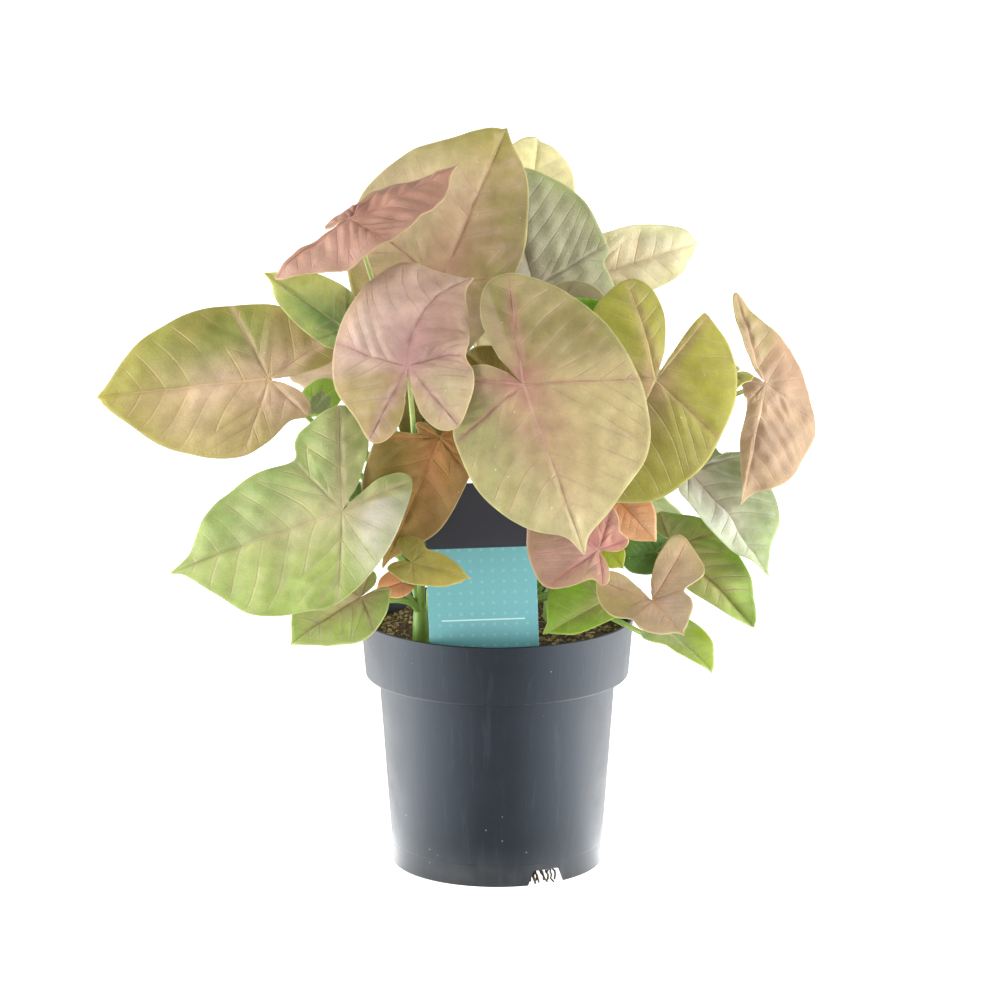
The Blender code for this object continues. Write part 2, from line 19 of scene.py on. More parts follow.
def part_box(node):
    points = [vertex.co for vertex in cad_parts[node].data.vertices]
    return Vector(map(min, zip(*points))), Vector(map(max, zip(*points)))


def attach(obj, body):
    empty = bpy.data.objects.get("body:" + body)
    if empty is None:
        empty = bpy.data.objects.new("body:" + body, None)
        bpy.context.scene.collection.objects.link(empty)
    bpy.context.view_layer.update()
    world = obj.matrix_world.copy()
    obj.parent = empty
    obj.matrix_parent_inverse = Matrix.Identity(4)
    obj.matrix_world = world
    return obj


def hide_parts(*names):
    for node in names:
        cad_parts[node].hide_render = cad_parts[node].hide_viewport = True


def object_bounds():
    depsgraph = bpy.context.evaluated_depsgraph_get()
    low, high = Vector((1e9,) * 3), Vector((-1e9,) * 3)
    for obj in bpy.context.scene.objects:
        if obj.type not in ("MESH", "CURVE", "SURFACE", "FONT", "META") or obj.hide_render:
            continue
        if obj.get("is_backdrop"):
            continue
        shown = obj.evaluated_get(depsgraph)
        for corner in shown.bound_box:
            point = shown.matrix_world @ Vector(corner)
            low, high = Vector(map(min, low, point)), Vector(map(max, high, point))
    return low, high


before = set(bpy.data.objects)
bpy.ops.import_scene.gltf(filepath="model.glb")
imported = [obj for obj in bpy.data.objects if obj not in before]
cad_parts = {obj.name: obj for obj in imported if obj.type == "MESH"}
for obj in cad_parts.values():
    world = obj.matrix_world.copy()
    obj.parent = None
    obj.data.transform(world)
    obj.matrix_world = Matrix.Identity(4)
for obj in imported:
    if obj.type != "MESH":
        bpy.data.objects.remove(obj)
cad_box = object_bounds()
MM = 0.001
pot_low, pot_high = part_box("pot")
pot_axis = Vector(((pot_low.x + pot_high.x) / 2, (pot_low.y + pot_high.y) / 2, 0.0))

# %% [markdown]
# ## Camera
#
# The plant was photographed from two metres away with a long lens, a little from above. The
# flat ellipses of the pot's rim and foot give the tilt, and the size of the rim in the
# picture gives the focal length.

# %% Camera
CAMERA_PLACE = Vector((0.0013, -2.0, 0.607))
CAMERA_TARGET = Vector((0.0013, 0.0, 0.1624))
FOCAL_PIXELS = 4685
IMAGE_PIXELS = 1000


def add_object(name, data):
    """Puts a mesh, a lamp or a camera in the scene."""
    made = bpy.data.objects.new(name, data)
    bpy.context.scene.collection.objects.link(made)
    return made


camera_data = bpy.data.cameras.new("camera")
camera_data.sensor_width = 36
camera_data.lens = camera_data.sensor_width * FOCAL_PIXELS / IMAGE_PIXELS
camera_data.clip_end = 20
camera = add_object("camera", camera_data)
camera.location = pot_axis + CAMERA_PLACE
camera.rotation_euler = (CAMERA_TARGET - CAMERA_PLACE).to_track_quat("-Z", "Y").to_euler()
bpy.context.scene.camera = camera
print("lens:", round(camera_data.lens, 1), "mm")

# %% [markdown]
# ## Colours and nodes
#
# Colours are picked as the screen shows them, in sRGB, and a shader wants linear light, so
# one function turns them. A second function adds a shader node with its settings and links,
# which keeps each material short enough to read as a recipe. Pigment, dust and print are all
# laid on as paint is, coat over coat, so a third function lays one coat.

# %% Colour and node helpers
def linear(hex_colour):
    values = [int(hex_colour[i:i + 2], 16) / 255 for i in (1, 3, 5)]
    return [v / 12.92 if v <= 0.04045 else ((v + 0.055) / 1.055) ** 2.4 for v in values]


def add_node(tree, kind, links=None, **settings):
    """Adds a shader node. links maps an input's name or place to a value or to an output."""
    made = tree.nodes.new("ShaderNode" + kind)
    for name, value in settings.items():
        setattr(made, name, value)
    for place, source in (links or {}).items():
        if isinstance(source, bpy.types.NodeSocket):
            tree.links.new(source, made.inputs[place])
        else:
            made.inputs[place].default_value = source
    return made


def new_material(name, **shader_values):
    """A material with its Principled shader's own values set: returns it, its tree and shader."""
    made = bpy.data.materials.new(name)
    made.use_nodes = True
    shader = made.node_tree.nodes["Principled BSDF"]
    for place, value in shader_values.items():
        shader.inputs[place.replace("_", " ")].default_value = value
    return made, made.node_tree, shader


def painted(tree, under, paint, mask, strength):
    """The colour below with a paint laid over it, where the mask is 1 and as the strength says."""
    share = add_node(tree, "Math", {0: mask, 1: strength}, operation="MULTIPLY").outputs[0]
    paint = (*linear(paint), 1) if isinstance(paint, str) else paint
    return add_node(tree, "Mix", {0: share, 6: under, 7: paint}, data_type="RGBA").outputs[2]


def place_piece(name, mesh, node, materials):
    """Puts a finished mesh in the scene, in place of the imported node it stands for."""
    mesh.transform(Matrix.Translation(pot_axis))
    for material in materials:
        mesh.materials.append(material)
    piece = add_object(name, mesh)
    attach(piece, "root")
    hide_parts(node)
    return piece


# %% [markdown]
# ## Light and floor
#
# The photograph is a bright packshot: two tall softboxes at the sides, white all round and a
# table of opal acrylic that is lit from below. The softboxes model the leaves and lay a broad
# pale glare on both sides of the pot. The room is darker where the photographer stands, so the
# front of the pot stays dark. The table glows more at both sides of the pot, but only for
# what is mirrored in it, because the pot is seen from above and mirrors the table, not the
# softboxes. What the camera sees of the world and the table is plain white, and the plain view
# transform shows white as white.

# %% World, lights and floor
WORLD_STRENGTH = 0.55
FRONT_SHARE = 0.45
FRONT_WAY, SIDE_WAY = -1.0, -0.3
SOFTBOX_WATTS = 18.0
SOFTBOX_WIDTH, SOFTBOX_HEIGHT = 1.1, 1.0
TOP_WATTS = 3.0
SOFTBOX_PLACE, SOFTBOX_TARGET = (1.0, -0.3, 0.42), (0, 0, 0.15)
TOP_SIZE = 0.9
TOP_PLACE, TOP_TARGET = (-0.2, -0.7, 1.3), (0, 0, 0.2)
TABLE_SIZE = 7.0
TABLE_GLOW = 1.1
TABLE_GLOW_FAR = 0.2
GLOW_FAR_Y, GLOW_NEAR_Y = -0.8, -0.2
MIRRORED_FRONT_GLOW, MIRRORED_SIDE_GLOW = 0.1, 4.0
FRONT_ANGLE, SIDE_ANGLE = math.radians(15), math.radians(90)

bpy.context.scene.view_settings.view_transform = "Standard"
world = bpy.data.worlds.new("studio")
world.use_nodes = True
background = world.node_tree.nodes["Background"]
background.inputs["Color"].default_value = (1, 1, 1, 1)
looking = add_node(world.node_tree, "TexCoord").outputs["Generated"]
to_back = add_node(world.node_tree, "SeparateXYZ", {0: looking}).outputs["Y"]
glow = add_node(world.node_tree, "MapRange", {
    0: to_back, 1: FRONT_WAY, 2: SIDE_WAY, 3: FRONT_SHARE * WORLD_STRENGTH,
    4: WORLD_STRENGTH}).outputs[0]
seen = add_node(world.node_tree, "LightPath").outputs["Is Camera Ray"]
glow = add_node(world.node_tree, "Math", {0: glow, 1: seen}, operation="MAXIMUM").outputs[0]
world.node_tree.links.new(glow, background.inputs["Strength"])
bpy.context.scene.world = world


def add_softbox(name, watts, width, height, place, target):
    lamp = bpy.data.lights.new(name, "AREA")
    lamp.shape = "RECTANGLE"
    lamp.energy = watts
    lamp.size, lamp.size_y = width, height
    made = add_object(name, lamp)
    made.location = pot_axis + Vector(place)
    made.rotation_euler = (Vector(target) - Vector(place)).to_track_quat("-Z", "Y").to_euler()
    made.visible_camera = False


for side_name, side in (("left", -1), ("right", 1)):
    x, y, z = SOFTBOX_PLACE
    add_softbox(side_name + "_softbox", SOFTBOX_WATTS, SOFTBOX_WIDTH, SOFTBOX_HEIGHT,
                (side * x, y, z), SOFTBOX_TARGET)
add_softbox("top_softbox", TOP_WATTS, TOP_SIZE, TOP_SIZE, TOP_PLACE, TOP_TARGET)


def mesh_of(bm, name):
    """Turns a finished bmesh into a mesh, and frees it."""
    mesh = bpy.data.meshes.new(name)
    bm.to_mesh(mesh)
    bm.free()
    return mesh


floor_bm = bmesh.new()
bmesh.ops.create_grid(floor_bm, x_segments=1, y_segments=1, size=TABLE_SIZE)
floor = add_object("floor", mesh_of(floor_bm, "floor"))
floor_material, floor_tree, floor_shader = new_material(
    "opal_acrylic_table", Base_Color=(*linear("#c8c8c8"), 1), Roughness=0.9,
    Emission_Color=(1, 1, 1, 1))
floor_place = add_node(floor_tree, "TexCoord").outputs["Object"]
floor_place = add_node(floor_tree, "SeparateXYZ", {0: floor_place}).outputs
floor_glow = add_node(floor_tree, "MapRange", {
    0: floor_place["Y"], 1: GLOW_FAR_Y, 2: GLOW_NEAR_Y, 3: TABLE_GLOW_FAR,
    4: TABLE_GLOW}).outputs[0]
sideways = add_node(floor_tree, "Math", {0: floor_place["X"], 1: pot_axis.x},
                    operation="SUBTRACT").outputs[0]
sideways = add_node(floor_tree, "Math", {0: sideways}, operation="ABSOLUTE").outputs[0]
forward = add_node(floor_tree, "Math", {0: floor_place["Y"]}, operation="ABSOLUTE").outputs[0]
off_front = add_node(floor_tree, "Math", {0: sideways, 1: forward}, operation="ARCTAN2").outputs[0]
side_glow = add_node(floor_tree, "MapRange", {
    0: off_front, 1: FRONT_ANGLE, 2: SIDE_ANGLE, 3: MIRRORED_FRONT_GLOW,
    4: MIRRORED_SIDE_GLOW}).outputs[0]
ray = add_node(floor_tree, "LightPath").outputs
for kind, its_glow in (("Is Glossy Ray", side_glow), ("Is Camera Ray", TABLE_GLOW)):
    floor_glow = add_node(floor_tree, "Mix",
                          {0: ray[kind], 2: floor_glow, 3: its_glow}).outputs[0]
floor_tree.links.new(floor_glow, floor_shader.inputs["Emission Strength"])
floor.data.materials.append(floor_material)
floor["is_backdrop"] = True
print("lights:", [each.name for each in bpy.data.lights])

# %% [markdown]
# ## The plant's shape
#
# An arrowhead leaf has a blade with a point at one end and two lobes at the other, and its
# stalk joins it where the lobes part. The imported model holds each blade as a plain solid. The
# list below repeats the same leaves: where the blade is joined, where its tip is, which way
# it looks, how wide its sides are, how long its lobes are and how it bends. A leaf is thus a
# flat outline that is carried to its place by a few turns, and the finer mesh fits the solid.

# %% The leaves
Leaf = namedtuple(
    "Leaf",
    "name crown joint tip faces half left right droop hang fold curl twist sweep wave",
    defaults=((0.50, 0.50), (0.50, 150), (0.50, 150), 20, 20, 10, -15, 0, 0, 1.0),
)

LEAVES = (
    Leaf("front_centre", "b", (11, -85, 230.5), (36, -106, 164), (0.0, -0.95, 0.3),
         (0.64, 0.48), (0.68, 173, 1.1), (0.38, 120), 15, 10, 0, -15),
    Leaf("front_pink", "a", (-37, -88, 239), (-10, -52, 270), (0, -0.75, 0.65),
         (0.56, 0.42), (0.62, 155, 0.9), (0.58, 148, 1.05), 25, 30, 0, -20, 0, 65),
    Leaf("left_long", "a", (-97, -40, 224), (-173, -35, 215), (-0.1, -0.9, 0.4),
         (0.42, 0.44), (0.30, 135), (0.44, 155, 1.2), 10, 10, 5, -10),
    Leaf("left_low", "a", (-65, -78, 175), (-137, -78, 148), (-0.1, -0.85, 0.5),
         (0.50, 0.38), (0.42, 190, 0.8), (0.62, 110), 10, 10, 5, -10),
    Leaf("left_rim", "a", (-58, -62, 134), (-88, -80, 117), (-0.1, -0.8, 0.6),
         (0.45, 0.45), (0.35, 165), (0.40, 150)),
    Leaf("left_sinus", "a", (-64, -54, 176), (-68, -56, 190), (0, -1, 0.2)),
    Leaf("orange_hanging", "a", (-24, -61, 203), (-48, -66, 148), (0.1, -0.95, 0.2),
         (0.30, 0.42), (0.30, 150), (0.20, 98, 0.8)),
    Leaf("olive_tip", "a", (-36, -78, 153), (-11, -84, 147), (0.1, -0.8, 0.5),
         (0.28, 0.35), (0.5, 130), (0.4, 150)),
    Leaf("soil_salmon", "a", (-41, -44, 136), (-52, -50, 133), (0, -0.8, 0.5)),
    Leaf("left_shade", "e", (-55, -38, 152), (-68, -46, 144), (-0.2, -0.9, 0.3)),
    Leaf("left_curl", "e", (-65, -48, 248), (-98, -56, 273), (-0.2, -0.9, 0.3),
         (0.26, 0.34), (0.25, 150), (0.28, 150)),
    Leaf("pink_upper", "a", (-62, -50, 295), (-16, -42, 314), (0.1, -0.45, 0.9),
         (0.34, 0.48), (0.26, 150), (0.80, 171, 0.7), 15, 5, (-20, 5)),
    Leaf("middle_shade", "d", (-24, -36, 219), (-38, -44, 192), (0.0, -0.95, 0.3),
         (0.45, 0.45)),
    Leaf("sprig_bright", "e", (-79, -8, 208), (-66, -4, 215), (0.0, -0.9, 0.4)),
    Leaf("sprig_grey", "e", (-75, -24, 212), (-80, -28, 206), (0.0, -0.9, 0.4)),
    Leaf("top_large", "d", (-24, -24, 263), (5, -2, 328), (-0.1, -0.95, 0.2),
         (0.61, 0.38), (0.58, 148), (0.45, 150), 10),
    Leaf("top_grey", "d", (16, -3, 257), (0, 12, 312), (0.3, -0.9, 0.2),
         (0.40, 0.62), (0.45, 150), (0.64, 112), 10, 30),
    Leaf("brown_curl", "d", (28, -22, 252), (51, -26, 251), (0.0, -0.9, 0.4)),
    Leaf("pale_top", "d", (12, 34, 277), (18, 54, 315), (0.1, -0.95, 0.2),
         (0.50, 0.44), (0.45, 150), (0.45, 150), 70),
    Leaf("centre_shade", "d", (3, -30, 219), (-15, -20, 233), (0.0, -0.95, 0.3)),
    Leaf("shiny_small", "c", (26, -42, 233), (50, -35, 256), (0.3, -0.8, 0.4),
         (0.62, 0.55)),
    Leaf("pale_right", "c", (45, 20, 259), (89, 45, 268), (0.2, -0.9, 0.3),
         (0.30, 0.26), (0.30, 150), (0.30, 150), 70),
    Leaf("right_olive", "c", (67, -62, 228), (40, -80, 175), (0.1, -0.95, 0.2),
         (0.56, 0.45), (0.63, 171.5, 1.3), (0.74, 146)),
    Leaf("right_arch", "c", (101, -40, 226), (81, -60, 207), (0.0, -0.35, 0.95),
         (0.25, 0.30), (0.25, 150), (0.25, 150), 80),
    Leaf("right_drop", "c", (115, -30, 220), (105, -45, 170), (0.3, -0.9, 0.1),
         (0.60, 0.12), (0.76, 214, 0.4), (0.20, 97), 10, 10, -10, -15),
    Leaf("right_pale", "c", (83, -25, 181), (117, -35, 136), (0.3, -0.6, 0.7),
         (0.54, 0.22), (0.36, 108), (0.20, 110)),
    Leaf("right_green", "c", (76, -24, 147), (112, -40, 114), (0.3, -0.85, 0.4),
         (0.38, 0.20), (0.36, 155), (0.40, 150)),
    Leaf("dark_right", "b", (68, -44, 149), (50, -47, 147), (0.0, -0.9, 0.4)),
    Leaf("right_small", "c", (66, -64, 133), (79, -80, 122), (0.1, -0.8, 0.6),
         (0.60, 0.60), (1.45, 122), (1.10, 148), 10, -35),
    Leaf("right_rim", "b", (73, -56, 117), (92, -76, 104), (0.2, -0.8, 0.6),
         (0.40, 0.18), (0.40, 150), (0.40, 150)),
    Leaf("pink_low", "b", (43, -72, 157), (14, -62, 177), (0.0, -0.8, 0.5),
         (0.72, 0.50), (0.42, 138), (0.38, 125)),
    Leaf("orange_point", "b", (50, -50, 175), (68, -60, 157), (0.1, -0.9, 0.3),
         (0.40, 0.40)),
    Leaf("lime_shade", "b", (46, -54, 154), (54, -57, 145), (0.0, -0.9, 0.4)),
    Leaf("green_rim", "b", (46, -41, 127), (20, -52, 115), (0.0, -0.9, 0.4),
         (0.28, 0.60), (0.30, 150), (0.30, 150)),
    Leaf("back_high", "d", (-20, 52, 240), (-8, 102, 208), (0.2, 0.7, 0.7)),
    Leaf("back_middle", "d", (22, 60, 190), (26, 112, 150), (0.0, 0.7, 0.7)),
    Leaf("back_low", "d", (5, 60, 142), (10, 98, 122), (0.1, 0.6, 0.8)),
    Leaf("back_left", "e", (-52, 36, 224), (-80, 82, 188), (-0.3, 0.7, 0.65)),
    Leaf("back_low_left", "e", (-52, 42, 160), (-86, 74, 126), (-0.5, 0.5, 0.7)),
    Leaf("back_right", "c", (52, 44, 208), (84, 86, 174), (0.3, 0.7, 0.65)),
    Leaf("back_low_right", "c", (50, 44, 158), (82, 78, 124), (0.5, 0.5, 0.7)),
)
CROWNS = {
    "a": (-33.0, -29.0),
    "b": (14.0, -18.0),
    "c": (24.0, 8.0),
    "d": (0.0, 20.0),
    "e": (-28.0, 12.0),
}
print("leaves:", len(LEAVES), "on", len(CROWNS), "young plants")

# %% [markdown]
# ## Outline of a leaf
#
# Half of the margin is a smooth curve through a few points: five down the side of the blade,
# one on the shoulder and five round the lobe. All are shares of the midrib, so that one set
# of points serves large and small leaves. Lobes that nearly touch are turned apart a little,
# so the outline never crosses itself.

# %% Margin of one leaf
SIDE_SHAPE = ((0, 1.0), (0.12, 0.92), (0.42, 0.81), (0.75, 0.64), (0.95, 0.42), (1.0, 0.18))
SHOULDER_BULGE = 0.1
LOBE_SHAPE = ((0.80, 0.38), (1.00, 0.08), (0.90, -0.13), (0.60, -0.20), (0.26, -0.13))
SINUS_ANGLES = (16, 13, 10, 8, 6)
NEARLY_STRAIGHT_BACK = 172
SPANS = 11
SHOULDER_SPAN = 5
LOBE_SPAN = 8


def lobe_points(length, direction, width=1.0):
    """Outer side, end and inner side of a basal lobe, for the side where across is positive."""
    sine, cosine = math.sin(math.radians(direction)), math.cos(math.radians(direction))
    points = []
    for (along, out), least in zip(LOBE_SHAPE, SINUS_ANGLES):
        x = length * (along * sine - width * out * cosine)
        y = length * (along * cosine + width * out * sine)
        least = math.radians(least)
        if direction <= NEARLY_STRAIGHT_BACK and math.atan2(x, -y) < least:
            reach = math.hypot(x, y)
            x, y = reach * math.sin(least), -reach * math.cos(least)
        points.append((x, y))
    return points


def half_margin(half, lobe):
    side = [(half * x, s) for x, s in SIDE_SHAPE]
    end = lobe_points(*lobe)
    drop = (end[0][0] - side[-1][0], end[0][1] - side[-1][1])
    shoulder = (side[-1][0] + drop[0] / 2 - SHOULDER_BULGE * drop[1],
                side[-1][1] + drop[1] / 2 + SHOULDER_BULGE * drop[0])
    return np.array(side + [shoulder] + end)


def smooth_curve(points, count):
    """count points along a Catmull-Rom curve through the given points."""
    ends = np.vstack([2 * points[0] - points[1], points, 2 * points[-1] - points[-2]])
    t = np.linspace(0, len(points) - 1, count)
    k = np.minimum(t.astype(int), len(points) - 2)
    a, b, c, d = (ends[k + i] for i in range(4))
    t = (t - k)[:, None]
    return 0.5 * (2 * b + (c - a) * t + (2 * a - 5 * b + 4 * c - d) * t ** 2
                  + (3 * b - a - 3 * c + d) * t ** 3)


def margin_of(leaf, steps):
    """From the sinus up the right side to the tip and down the left, steps to each span."""
    right = smooth_curve(half_margin(leaf.half[1], leaf.right), SPANS * steps + 1)
    left = smooth_curve(half_margin(leaf.half[0], leaf.left), SPANS * steps + 1)
    return np.vstack([right[::-1], left[1:] * (-1, 1)])


print("margin points of one leaf:", len(margin_of(LEAVES[0], 8)))

# %% [markdown]
# ## Bending a leaf
#
# A flat leaf is bent in four ways. Its tip droops and its lobes hang, its two halves fold up
# from the midrib like a book, its edges roll, and the whole blade may twist or swing to one
# side. Each bend is a turn that grows along the midrib or across it. Working with arrays
# bends all the points of a leaf at once.

# %% Carry flat points to their place
MIDRIB_STEPS = 24


def both_sides(value, right):
    """A bend is given once, or as (left, right): the value that each point takes."""
    left_value, right_value = value if isinstance(value, tuple) else (value, value)
    return np.where(right, right_value, left_value)


def turned(leaf, along, x, y, z):
    """Turns (x, y, z) as the blade has turned at along, a share of the midrib."""
    droop = -leaf.droop * along * (0.4 + 0.6 * along)
    pitch = np.radians(np.where(along < 0, -2 * leaf.hang * along, droop))
    swing = np.radians(np.where(along < 0, 0.0, leaf.sweep * along))
    y, z = y * np.cos(pitch) - z * np.sin(pitch), y * np.sin(pitch) + z * np.cos(pitch)
    x, y = x * np.cos(swing) + y * np.sin(swing), y * np.cos(swing) - x * np.sin(swing)
    return np.stack((x, y, z), axis=-1)


def along_midrib(leaf, along):
    step, zero = along / MIDRIB_STEPS, np.zeros_like(along)
    places = ((i + 0.5) * step for i in range(MIDRIB_STEPS))
    return sum(turned(leaf, place, zero, step, zero) for place in places)


def axes(along, faces):
    """Columns: across, along, and up as near to faces as it goes."""
    along = along / np.linalg.norm(along)
    up = faces - np.dot(faces, along) * along
    up /= np.linalg.norm(up)
    return np.stack((np.cross(along, up), along, up), axis=1)


def blade_frame(leaf):
    """The midrib's length in mm, and the turn from the flat leaf to its place."""
    chord = along_midrib(leaf, np.array(1.0))
    reach = np.subtract(leaf.tip, leaf.joint)
    length = np.linalg.norm(reach) / np.linalg.norm(chord)
    turn = axes(reach, np.array(leaf.faces)) @ axes(chord, np.array((0.0, 0.0, 1.0))).T
    return length, turn


def bent(leaf, flat, right, lift):
    """Points of the flat leaf, on its right side or not, raised by lift mm, in their place."""
    length, turn = blade_frame(leaf)
    sign = np.where(right, 1.0, -1.0)
    out = sign * flat[..., 0]
    curl = np.radians(both_sides(leaf.curl, right)) / both_sides(leaf.half, right)
    bend = np.radians(both_sides(leaf.fold, right)) + 0.5 * curl * np.abs(out)
    x, z = sign * out * np.cos(bend), out * np.sin(bend) + lift / length
    twist = np.radians(leaf.twist) * np.maximum(flat[..., 1], 0)
    x, z = x * np.cos(twist) + z * np.sin(twist), z * np.cos(twist) - x * np.sin(twist)
    local = along_midrib(leaf, flat[..., 1]) + turned(leaf, flat[..., 1], x, np.zeros_like(x), z)
    return np.array(leaf.joint) + (local * length) @ turn.T


print("midribs:", sorted(round(float(blade_frame(leaf)[0])) for leaf in LEAVES), "mm")

# %% [markdown]
# ## Veins
#
# Five veins fan out from the joint: the midrib, one to each shoulder and one to each lobe.
# Side veins leave them at a steep angle and curve forward. Their places are worked out as
# numbers on each point: the distance to the nearest main vein in half widths of that vein,
# and a count that grows by one from a side vein to the next. A material can then draw lines
# that are finer than the mesh, and the mesh can puff up between them.

# %% Vein places
MAIN_VEIN_MM = 0.62
SHOULDER_VEIN_MM = 0.26
VEIN_TAPER = 0.75
SIDE_VEINS = 7.0
LOBE_SIDE_VEINS = 7.5
STRAY = 0.3
STRAY_MM = 26.0
VEIN_SLANT = 0.55
VEIN_CURVE = 0.5


def swell(flat_mm, size_mm, start):
    """A smooth uneven swell from -1 to 1, with hills about size_mm wide, for points in mm."""
    total = 0
    for i, stretch in enumerate((1.0, 1.37, 0.79)):
        way = start + 2.1 * i
        along = flat_mm[..., 0] * math.cos(way) + flat_mm[..., 1] * math.sin(way)
        total = total + np.sin(along * math.pi * stretch / size_mm + 1.7 * way)
    return total / 3


def vein_places(leaf, flat, margin, steps):
    """The main veins' and the side veins' numbers for the points of a flat leaf."""
    length = blade_frame(leaf)[0]
    tip = SPANS * steps
    fan = [(margin[tip], MAIN_VEIN_MM, SIDE_VEINS, VEIN_SLANT)]
    for side in (-1, 1):
        fan.append((margin[tip + side * LOBE_SPAN * steps], MAIN_VEIN_MM * 0.8,
                    LOBE_SIDE_VEINS, VEIN_SLANT))
        fan.append((margin[tip + side * SHOULDER_SPAN * steps], SHOULDER_VEIN_MM,
                    LOBE_SIDE_VEINS, 1.3))
    nearest = np.full(flat.shape[:-1], np.inf)
    count = np.full(flat.shape[:-1], -np.inf)
    for end, half_width, side_veins, slant in fan:
        reach = np.linalg.norm(end)
        way = end / reach
        along = flat @ way
        off = np.abs(flat[..., 0] * way[1] - flat[..., 1] * way[0])
        past = along - np.clip(along, 0, reach)
        taper = 1 - VEIN_TAPER * np.clip(along / reach, 0, 1)
        nearest = np.minimum(nearest, np.hypot(off, past) * length / (half_width * taper))
        count = np.maximum(count, (along - slant * off - VEIN_CURVE * off * off) * side_veins)
    return nearest, count + STRAY * swell(flat * length, STRAY_MM, leaf.joint[0])


# %% [markdown]
# ## Colours of the leaves
#
# Young leaves of this plant come out rosy and turn olive and green with age, so each has its
# own mix. A look names the colours of the right and left side, the heart round the joint, the
# lobes, the rim and the tip, the veins, and the soft stripes that follow the side veins. They
# are blended over the leaf by a few smooth masks, as the pigment is in the real blade. The
# heart's colour also runs out along the main veins, where young leaves are rosiest. A few
# looks also hold painted shade or painted light, which is noted at each of them.

# %% Looks
Look = namedtuple(
    "Look",
    "right left heart right_lobe left_lobe rim tip vein stripe stripes relief",
    defaults=(None,) * 8 + (0.3, 0.5),
)

